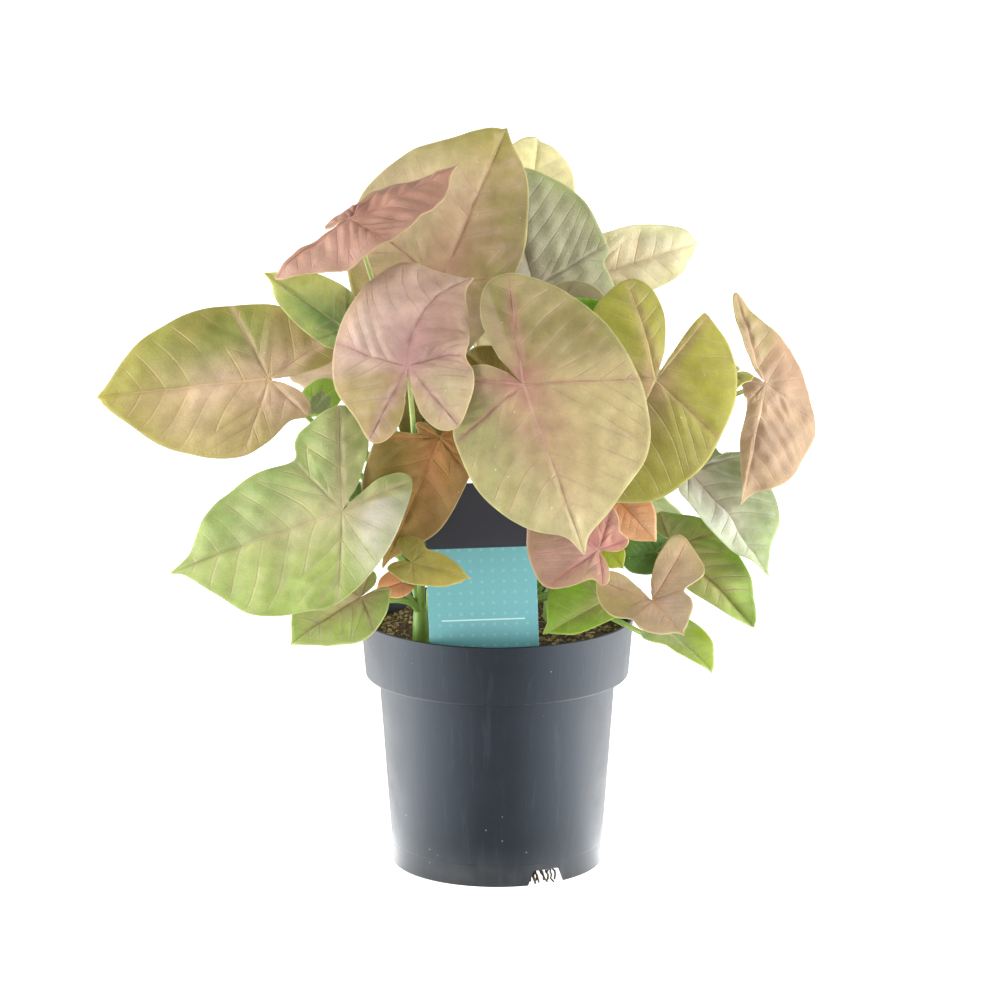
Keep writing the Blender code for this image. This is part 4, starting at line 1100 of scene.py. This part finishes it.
pot_profile = [
    (0.0, FLOOR_Z + WALL), (FOOT_R - WALL + 0.4, FLOOR_Z + WALL),
    (BODY_TOP_R - WALL, COLLAR_LOW_Z + WALL), (COLLAR_LOW_R - WALL, COLLAR_LOW_Z + WALL),
    (RIM_R - WALL, POT_HEIGHT), (RIM_R, POT_HEIGHT),
    (COLLAR_LOW_R, COLLAR_LOW_Z), (BODY_TOP_R, COLLAR_LOW_Z),
    (FOOT_R + FOOT_LINE_STEP, FOOT_LINE_Z), (FOOT_R, FOOT_LINE_Z - FOOT_LINE_STEP),
    (FOOT_R, 0.0), (FOOT_R - WALL, 0.0), (FOOT_R - WALL, FLOOR_Z), (0.0, FLOOR_Z),
]
pot_radii = [0, 1.0, 1.0, 1.0, 0.5, 0.5, 1.2, 1.4, 0.3, 0.3, 0.5, 0.4, 1.0, 0]
pot = add_object("pot_blank", mesh_of(spun(pot_profile, pot_radii, POT_SIDES), "pot_shell"))

# %% Notches and drain holes
bm = bmesh.new()
for angle in NOTCH_ANGLES:
    turn = Matrix.Rotation(math.radians(angle - 90), 4, "Z")
    bmesh.ops.create_cone(
        bm, cap_ends=True, segments=4, radius1=NOTCH_WIDTH / math.sqrt(2) * MM,
        radius2=NOTCH_WIDTH * NOTCH_TOP_SHARE / math.sqrt(2) * MM,
        depth=(NOTCH_HEIGHT + CUT_SPARE) * MM,
        matrix=turn @ Matrix.Translation((NOTCH_CENTRE_R * MM, 0,
                                          (NOTCH_HEIGHT - CUT_SPARE) / 2 * MM))
        @ Matrix.Rotation(math.radians(45), 4, "Z"))
for i in range(DRAIN_HOLES):
    turn = Matrix.Rotation(math.tau * i / DRAIN_HOLES, 4, "Z")
    bmesh.ops.create_cone(
        bm, cap_ends=True, segments=32, radius1=DRAIN_HOLE_R * MM, radius2=DRAIN_HOLE_R * MM,
        depth=2 * CUT_SPARE * MM,
        matrix=turn @ Matrix.Translation((DRAIN_RING_R * MM, 0, FLOOR_Z * MM)))
cutter = add_object("cutter", mesh_of(bm, "cutter"))
cut = pot.modifiers.new("cut", "BOOLEAN")
cut.operation = "DIFFERENCE"
cut.object = cutter
bpy.context.view_layer.update()
graph = bpy.context.evaluated_depsgraph_get()
pot_mesh = bpy.data.meshes.new_from_object(pot.evaluated_get(graph))
bpy.data.objects.remove(cutter)
bpy.data.objects.remove(pot)
pot_mesh.shade_smooth()
pot_mesh.set_sharp_from_angle(angle=math.radians(35))
print("pot faces:", len(pot_mesh.polygons))

# %% [markdown]
# ## Pot material
#
# Nursery pots are moulded from recycled polypropylene, dyed dark grey. The skin copies a
# steel mould: smooth, a little waxy and never quite even, so the white studio shows in it as
# a broad pale glare. Handling and compost leave pale specks, thin scratches and a dusting
# near the foot.

# %% Moulded polypropylene
GRAIN_MM = 0.6
SCUFF_MM = 14.0
DUST_MM = 3.5
DUST_HEIGHT = 22.0
GRIT_SHARE = 0.04
SCUFF_PAINT, DUST_PAINT, GRIT_PAINT = 0.1, 0.35, 0.4
POT_RELIEF_MM = 0.2
polypropylene, tree, shader = new_material(
    "moulded_recycled_polypropylene", IOR=1.49, Specular_Tint=(0.78, 0.89, 1.0, 1))
place = add_node(tree, "TexCoord").outputs["Object"]
height_z = add_node(tree, "SeparateXYZ", {0: place}).outputs["Z"]
clouds = add_node(tree, "TexNoise", {"Vector": place, "Scale": 1 / (SCUFF_MM * MM),
                                     "Detail": 6.0, "Roughness": 0.62}).outputs[0]
grain = add_node(tree, "TexNoise", {"Vector": place, "Scale": 1 / (GRAIN_MM * MM),
                                    "Detail": 2.0}).outputs[0]
streak_place = add_node(tree, "Mapping", {"Vector": place, "Scale": (3.0, 3.0, 0.25)}).outputs[0]
scratches = add_node(tree, "TexNoise", {"Vector": streak_place, "Scale": 1 / (SCUFF_MM * MM),
                                        "Detail": 8.0, "Roughness": 0.7}).outputs[0]
scratches = add_node(tree, "MapRange", {0: scratches, 1: 0.55, 2: 0.75}).outputs[0]
specks = add_node(tree, "TexVoronoi", {"Vector": place, "Scale": 1 / (DUST_MM * MM)})
rare = add_node(tree, "SeparateColor", {0: specks.outputs["Color"]}).outputs[0]
rare = add_node(tree, "Math", {0: rare, 1: 1 - GRIT_SHARE}, operation="GREATER_THAN").outputs[0]
speck = add_node(tree, "MapRange", {0: specks.outputs["Distance"], 1: 0.12, 2: 0.07}).outputs[0]
speck = add_node(tree, "Math", {0: speck, 1: rare}, operation="MULTIPLY").outputs[0]
low = add_node(tree, "MapRange", {0: height_z, 1: DUST_HEIGHT * MM, 2: 0.0},
               interpolation_type="SMOOTHSTEP").outputs[0]
dust = add_node(tree, "Math", {0: low, 1: clouds}, operation="MULTIPLY").outputs[0]
colour = add_node(tree, "Mix", {0: clouds, 6: (*linear("#0c1118"), 1),
                                7: (*linear("#151a23"), 1)}, data_type="RGBA").outputs[2]
colour = painted(tree, colour, "#6c737c", scratches, SCUFF_PAINT)
colour = painted(tree, colour, "#6e6a62", dust, DUST_PAINT)
colour = painted(tree, colour, "#a3a39c", speck, GRIT_PAINT)
tree.links.new(colour, shader.inputs["Base Color"])
rough = add_node(tree, "MapRange", {0: clouds, 1: 0.3, 2: 0.7, 3: 0.30, 4: 0.40}).outputs[0]
tree.links.new(rough, shader.inputs["Roughness"])
height = add_node(tree, "Math", {0: clouds, 1: 2.0, 2: grain}, operation="MULTIPLY_ADD").outputs[0]
bump = add_node(tree, "Bump", {"Strength": 0.25, "Distance": POT_RELIEF_MM * MM,
                               "Height": height})
tree.links.new(bump.outputs[0], shader.inputs["Normal"])
place_piece("pot_shell", pot_mesh, "pot", [polypropylene])

# %% [markdown]
# ## Potting mix
#
# The mix is peat with bark and a little grit. Its body is spun like the pot. The top is
# lumped with noise at two sizes, and loose crumbs, chips of bark and root fibres are
# scattered on it. A crumb is a ball of only twenty faces, pressed out of shape, because
# there are hundreds of them. A few dead roots hang from the pot's floor in the front notch.

# %% Body of the mix
SOIL_EDGE_Z = 103.5
SOIL_CROWN_RISE = 3.0
SOIL_LUMP, LUMP_WIDTH = 1.6, 9.0
SOIL_CRUMB, CRUMB_WIDTH = 0.8, 3.2
SOIL_SIDES = 120
SOIL_RINGS = 40
SIDE_GAP = 0.65
CLEARANCE = 0.35

floor_z = FLOOR_Z + WALL + CLEARANCE
ledge_z = COLLAR_LOW_Z + WALL + CLEARANCE
collar_r = COLLAR_LOW_R - WALL - SIDE_GAP
collar_slope = (RIM_R - COLLAR_LOW_R) / (POT_HEIGHT - COLLAR_LOW_Z)
edge_r = collar_r + (SOIL_EDGE_Z - COLLAR_LOW_Z) * collar_slope
soil_profile = [(0.0, floor_z), (FOOT_R - WALL - CLEARANCE, floor_z),
                (BODY_TOP_R - WALL - SIDE_GAP, ledge_z), (collar_r, ledge_z)]
soil_profile += [(edge_r * (1 - k / SOIL_RINGS), SOIL_EDGE_Z) for k in range(SOIL_RINGS + 1)]


def soil_height(x, y):
    """Height in mm of the lumpy top, in coarse lumps and fine crumbs."""
    out = math.hypot(x, y) / RIM_R
    lumps = noise.noise(Vector((x / LUMP_WIDTH, y / LUMP_WIDTH, 0.7)))
    crumbs = noise.fractal(Vector((x / CRUMB_WIDTH, y / CRUMB_WIDTH, 2.3)), 0.7, 2.2, 4)
    height = SOIL_EDGE_Z + SOIL_CROWN_RISE * (1 - out * out) + SOIL_LUMP * lumps * (1 - out)
    return height + SOIL_CRUMB * crumbs * min(1.0, 8 * (1 - out))


soil_bm = spun(soil_profile, [0] * len(soil_profile), SOIL_SIDES)
for vert in soil_bm.verts:
    if vert.co.z > (SOIL_EDGE_Z - 0.01) * MM:
        vert.co.z = soil_height(vert.co.x / MM, vert.co.y / MM) * MM
print("mix faces:", len(soil_bm.faces))

# %% Crumbs, bark and fibres
CRUMBS = 1500
BARK_CHIPS = 110
FIBRES = 70
FIBRE_STEPS, FIBRE_STEP = 6, 1.2
FIBRE_R, FIBRE_RISE = 0.16, 0.35
FIBRE_SIDES = 5
NOTCH_ROOTS = 12
ROOT_STEPS = 7
ROOT_R = 0.4
ROOT_TONE = 0.1
FRONT_NOTCH_ANGLE = NOTCH_ANGLES[0] - 90
tone = soil_bm.verts.layers.float.new("tone")
dice = random.Random(12)


def spot_on_mix(edge=0.95):
    angle, out = dice.uniform(0, math.tau), edge_r * edge * math.sqrt(dice.random())
    x, y = out * math.cos(angle), out * math.sin(angle)
    return Vector((x, y, soil_height(x, y)))


def any_turn():
    axis = Vector([dice.uniform(-1, 1) for _ in range(3)])
    return Matrix.Rotation(dice.uniform(0, math.tau), 4, axis.normalized())


for _ in range(CRUMBS):
    size = dice.choice((0.5, 0.7, 0.9, 1.3))
    stretch = Matrix.Diagonal([size * dice.uniform(0.6, 1.3) * MM for _ in range(3)] + [1])
    crumb = bmesh.ops.create_icosphere(
        soil_bm, subdivisions=1, radius=1.0,
        matrix=Matrix.Translation(spot_on_mix() * MM) @ any_turn() @ stretch)
    shade = dice.random()
    for vert in crumb["verts"]:
        vert.co += Vector([dice.uniform(-0.2, 0.2) * size * MM for _ in range(3)])
        vert[tone] = shade
for _ in range(BARK_CHIPS):
    shape = (dice.uniform(2, 4.5), dice.uniform(1, 2), dice.uniform(0.4, 0.8))
    flat_turn = Matrix.Rotation(dice.uniform(0, math.tau), 4, "Z")
    tilt = Matrix.Rotation(dice.uniform(-0.4, 0.4), 4, "X")
    chip = bmesh.ops.create_cube(
        soil_bm, size=1.0,
        matrix=Matrix.Translation(spot_on_mix(0.9) * MM) @ flat_turn @ tilt
        @ Matrix.Diagonal([side * MM for side in shape] + [1]))
    shade = dice.uniform(0.3, 1.0)
    for vert in chip["verts"]:
        vert.co += Vector([dice.uniform(-0.25, 0.25) * MM for _ in range(3)])
        vert[tone] = shade
for _ in range(FIBRES):
    start, turn = spot_on_mix(0.85), dice.uniform(0, math.tau)
    path = []
    for i in range(FIBRE_STEPS):
        x = start.x + FIBRE_STEP * i * math.cos(turn + 0.2 * i)
        y = start.y + FIBRE_STEP * i * math.sin(turn + 0.2 * i)
        path.append((Vector((x, y, soil_height(x, y) + FIBRE_RISE)), FIBRE_R))
    push_along(soil_bm, path, FIBRE_SIDES, tone)
# Dead roots that have come through the drain holes, from the pot's floor down to the table.
for _ in range(NOTCH_ROOTS):
    turn = math.radians(FRONT_NOTCH_ANGLE + dice.uniform(-8, 8))
    out, path = dice.uniform(36, 42), []
    for i in range(ROOT_STEPS):
        fall = i / (ROOT_STEPS - 1)
        turn += math.radians(dice.uniform(-1.5, 1.5))
        out += dice.uniform(0.2, 1.2)
        height = (FLOOR_Z + ROOT_R) * (1 - fall ** 2) + 2 * ROOT_R * fall ** 2
        path.append((Vector((out * math.cos(turn), out * math.sin(turn), height)), ROOT_R))
    before = set(soil_bm.verts)
    push_along(soil_bm, path, FIBRE_SIDES, tone)
    for vert in set(soil_bm.verts) - before:
        vert[tone] = ROOT_TONE
bmesh.ops.recalc_face_normals(soil_bm, faces=soil_bm.faces)
soil_mesh = mesh_of(soil_bm, "peat_mix")
print("mix with crumbs, faces:", len(soil_mesh.polygons))

# %% Peat material
# Damp peat is nearly black brown, its bark and dry crumbs are lighter, and nothing shines.
peat, tree, shader = new_material("damp_peat_and_bark", Roughness=0.92)
PEAT_MM = 1.1
place = add_node(tree, "TexCoord").outputs["Object"]
shade = add_node(tree, "Attribute", attribute_name="tone").outputs["Fac"]
grain = add_node(tree, "TexNoise", {"Vector": place, "Scale": 1 / (PEAT_MM * MM), "Detail": 5.0,
                                    "Roughness": 0.7}).outputs[0]
mixed = add_node(tree, "Math", {0: shade, 1: 0.6, 2: grain}, operation="MULTIPLY_ADD").outputs[0]
ramp = add_node(tree, "ValToRGB", {0: mixed})
ramp.color_ramp.elements[0].position = 0.35
ramp.color_ramp.elements[0].color = (*linear("#1d1510"), 1)
ramp.color_ramp.elements[1].position = 1.15
ramp.color_ramp.elements[1].color = (*linear("#b09a6e"), 1)
brown = ramp.color_ramp.elements.new(0.7)
brown.color = (*linear("#5c4a32"), 1)
tree.links.new(ramp.outputs[0], shader.inputs["Base Color"])
bump = add_node(tree, "Bump", {"Strength": 0.8, "Distance": 0.0006, "Height": grain})
tree.links.new(bump.outputs[0], shader.inputs["Normal"])
place_piece("peat_mix", soil_mesh, "potting_mix", [peat])

# %% [markdown]
# ## Plant tag
#
# The tag is a stiff card pushed into the mix. It is one flat shape with tapered feet, grown
# to a sheet by extrusion, with its corners and its edges bevelled. It is kept plain: a dark
# band at the top, teal below it, with rows of small pale dots and one thin pale rule.

# %% Tag card
TAG_WIDTH = 47.0
TAG_THICK = 0.8
TAG_TOP_Z = 181.0
TAG_FOOT_Z = 88.0
TAG_TAPER = 12.0
TAG_Y = -49.5
TAG_LEAN = 2.0
TAG_X = -1.6
TAG_STEM_WIDTH = 22.0
TAG_CORNER = 1.2
TAG_EDGE = 0.12

half, stem = TAG_WIDTH / 2, TAG_STEM_WIDTH / 2
shoulder_z = TAG_FOOT_Z + TAG_TAPER
outline = [(-half, TAG_TOP_Z), (-half, shoulder_z), (-stem, TAG_FOOT_Z), (stem, TAG_FOOT_Z),
           (half, shoulder_z), (half, TAG_TOP_Z)]
bm = bmesh.new()
front = [bm.verts.new((x * MM, -TAG_THICK / 2 * MM, z * MM)) for x, z in outline]
face = bm.faces.new(front)
bmesh.ops.bevel(bm, geom=[front[0], front[-1]], offset=TAG_CORNER * MM, segments=5,
                affect="VERTICES", profile=0.5, material=-1)
grown = bmesh.ops.extrude_face_region(bm, geom=list(bm.faces))
back = [part for part in grown["geom"] if isinstance(part, bmesh.types.BMVert)]
bmesh.ops.translate(bm, verts=back, vec=(0, TAG_THICK * MM, 0))
bmesh.ops.recalc_face_normals(bm, faces=bm.faces)
rims = [edge for edge in bm.edges if abs(edge.verts[0].co.y - edge.verts[1].co.y) < 1e-6]
bmesh.ops.bevel(bm, geom=rims, offset=TAG_EDGE * MM, segments=2, affect="EDGES", profile=0.5,
                material=-1)
tag_uv = bm.loops.layers.uv.new("card")
for face in bm.faces:
    for loop in face.loops:
        loop[tag_uv].uv = (loop.vert.co.x / (TAG_WIDTH * MM), loop.vert.co.z / (TAG_WIDTH * MM))
side = bm.verts.layers.float.new("front")
for vert in bm.verts:
    vert[side] = 1.0 if vert.co.y < 0 else 0.0
bm.transform(Matrix.Translation((TAG_X * MM, TAG_Y * MM, 0))
             @ Matrix.Rotation(math.radians(-TAG_LEAN), 4, "Y"))
tag_mesh = mesh_of(bm, "tag_card")
print("tag faces:", len(tag_mesh.polygons))

# %% [markdown]
# ## Tag material
#
# Such tags are offset printed on coated card: flat inks with a light satin varnish. The
# pattern reads the card's own UV map, which is measured in card widths, so it turns with the
# card. The dots stand 4.7 mm apart, ten to the card's width.

# %% Printed card
BAND_LOW_Z = 152.6
DOTS_ACROSS = 10
RULE_Z = 121.0
RULE_MM = 0.6
RULE_SHARE = 0.76
printed, tree, shader = new_material("offset_printed_coated_card", Roughness=0.42, IOR=1.47)
uv = add_node(tree, "UVMap", uv_map="card").outputs[0]
parts = add_node(tree, "SeparateXYZ", {0: uv})
across, up = parts.outputs["X"], parts.outputs["Y"]
facing = add_node(tree, "Attribute", attribute_name="front").outputs["Fac"]
band = add_node(tree, "Math", {0: up, 1: BAND_LOW_Z / TAG_WIDTH},
                operation="GREATER_THAN").outputs[0]
dot_place = add_node(tree, "Mapping", {"Vector": uv, "Scale": (DOTS_ACROSS,) * 3,
                                       "Location": (0.5, 0.2, 0.0)}).outputs[0]
dot_place = add_node(tree, "VectorMath", {0: dot_place}, operation="FRACTION").outputs[0]
dot_place = add_node(tree, "VectorMath", {0: dot_place, 1: (0.5, 0.5, 0.0)},
                     operation="SUBTRACT").outputs[0]
dot_way = add_node(tree, "VectorMath", {0: dot_place}, operation="LENGTH").outputs["Value"]
dots = add_node(tree, "MapRange", {0: dot_way, 1: 0.17, 2: 0.13, 3: 0.0, 4: 0.45}).outputs[0]
fibres = add_node(tree, "TexNoise", {"Vector": uv, "Scale": 60.0, "Detail": 3.0}).outputs[0]
teal = add_node(tree, "Mix", {0: dots, 6: (*linear("#6eaeb3"), 1), 7: (*linear("#92c6c8"), 1)},
                data_type="RGBA").outputs[2]
near = add_node(tree, "Math", {0: up, 1: RULE_Z / TAG_WIDTH}, operation="SUBTRACT").outputs[0]
near = add_node(tree, "Math", {0: near}, operation="ABSOLUTE").outputs[0]
thin = add_node(tree, "Math", {0: near, 1: RULE_MM / 2 / TAG_WIDTH},
                operation="LESS_THAN").outputs[0]
span = add_node(tree, "Math", {0: across}, operation="ABSOLUTE").outputs[0]
span = add_node(tree, "Math", {0: span, 1: RULE_SHARE / 2}, operation="LESS_THAN").outputs[0]
rule = add_node(tree, "Math", {0: thin, 1: span}, operation="MULTIPLY").outputs[0]
teal = add_node(tree, "Mix", {0: rule, 6: teal, 7: (*linear("#c3e6e4"), 1)},
                data_type="RGBA").outputs[2]
colour = add_node(tree, "Mix", {0: band, 6: teal, 7: (*linear("#2e2e38"), 1)},
                  data_type="RGBA").outputs[2]
colour = add_node(tree, "Mix", {0: facing, 6: (*linear("#e6e6e0"), 1), 7: colour},
                  data_type="RGBA").outputs[2]
value = add_node(tree, "MapRange", {0: fibres, 1: 0.3, 2: 0.7, 3: 0.96, 4: 1.04}).outputs[0]
colour = add_node(tree, "HueSaturation", {"Value": value, "Color": colour}).outputs[0]
tree.links.new(colour, shader.inputs["Base Color"])
bump = add_node(tree, "Bump", {"Strength": 0.15, "Distance": 0.0001, "Height": fibres})
tree.links.new(bump.outputs[0], shader.inputs["Normal"])
place_piece("tag_card", tag_mesh, "plant_tag", [printed])

# %% Finish
visual_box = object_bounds()
for corner, was, now in zip(("low", "high"), cad_box, visual_box):
    print(corner, [round((b - a) * 1000, 2) for a, b in zip(was, now)], "mm off the solids")
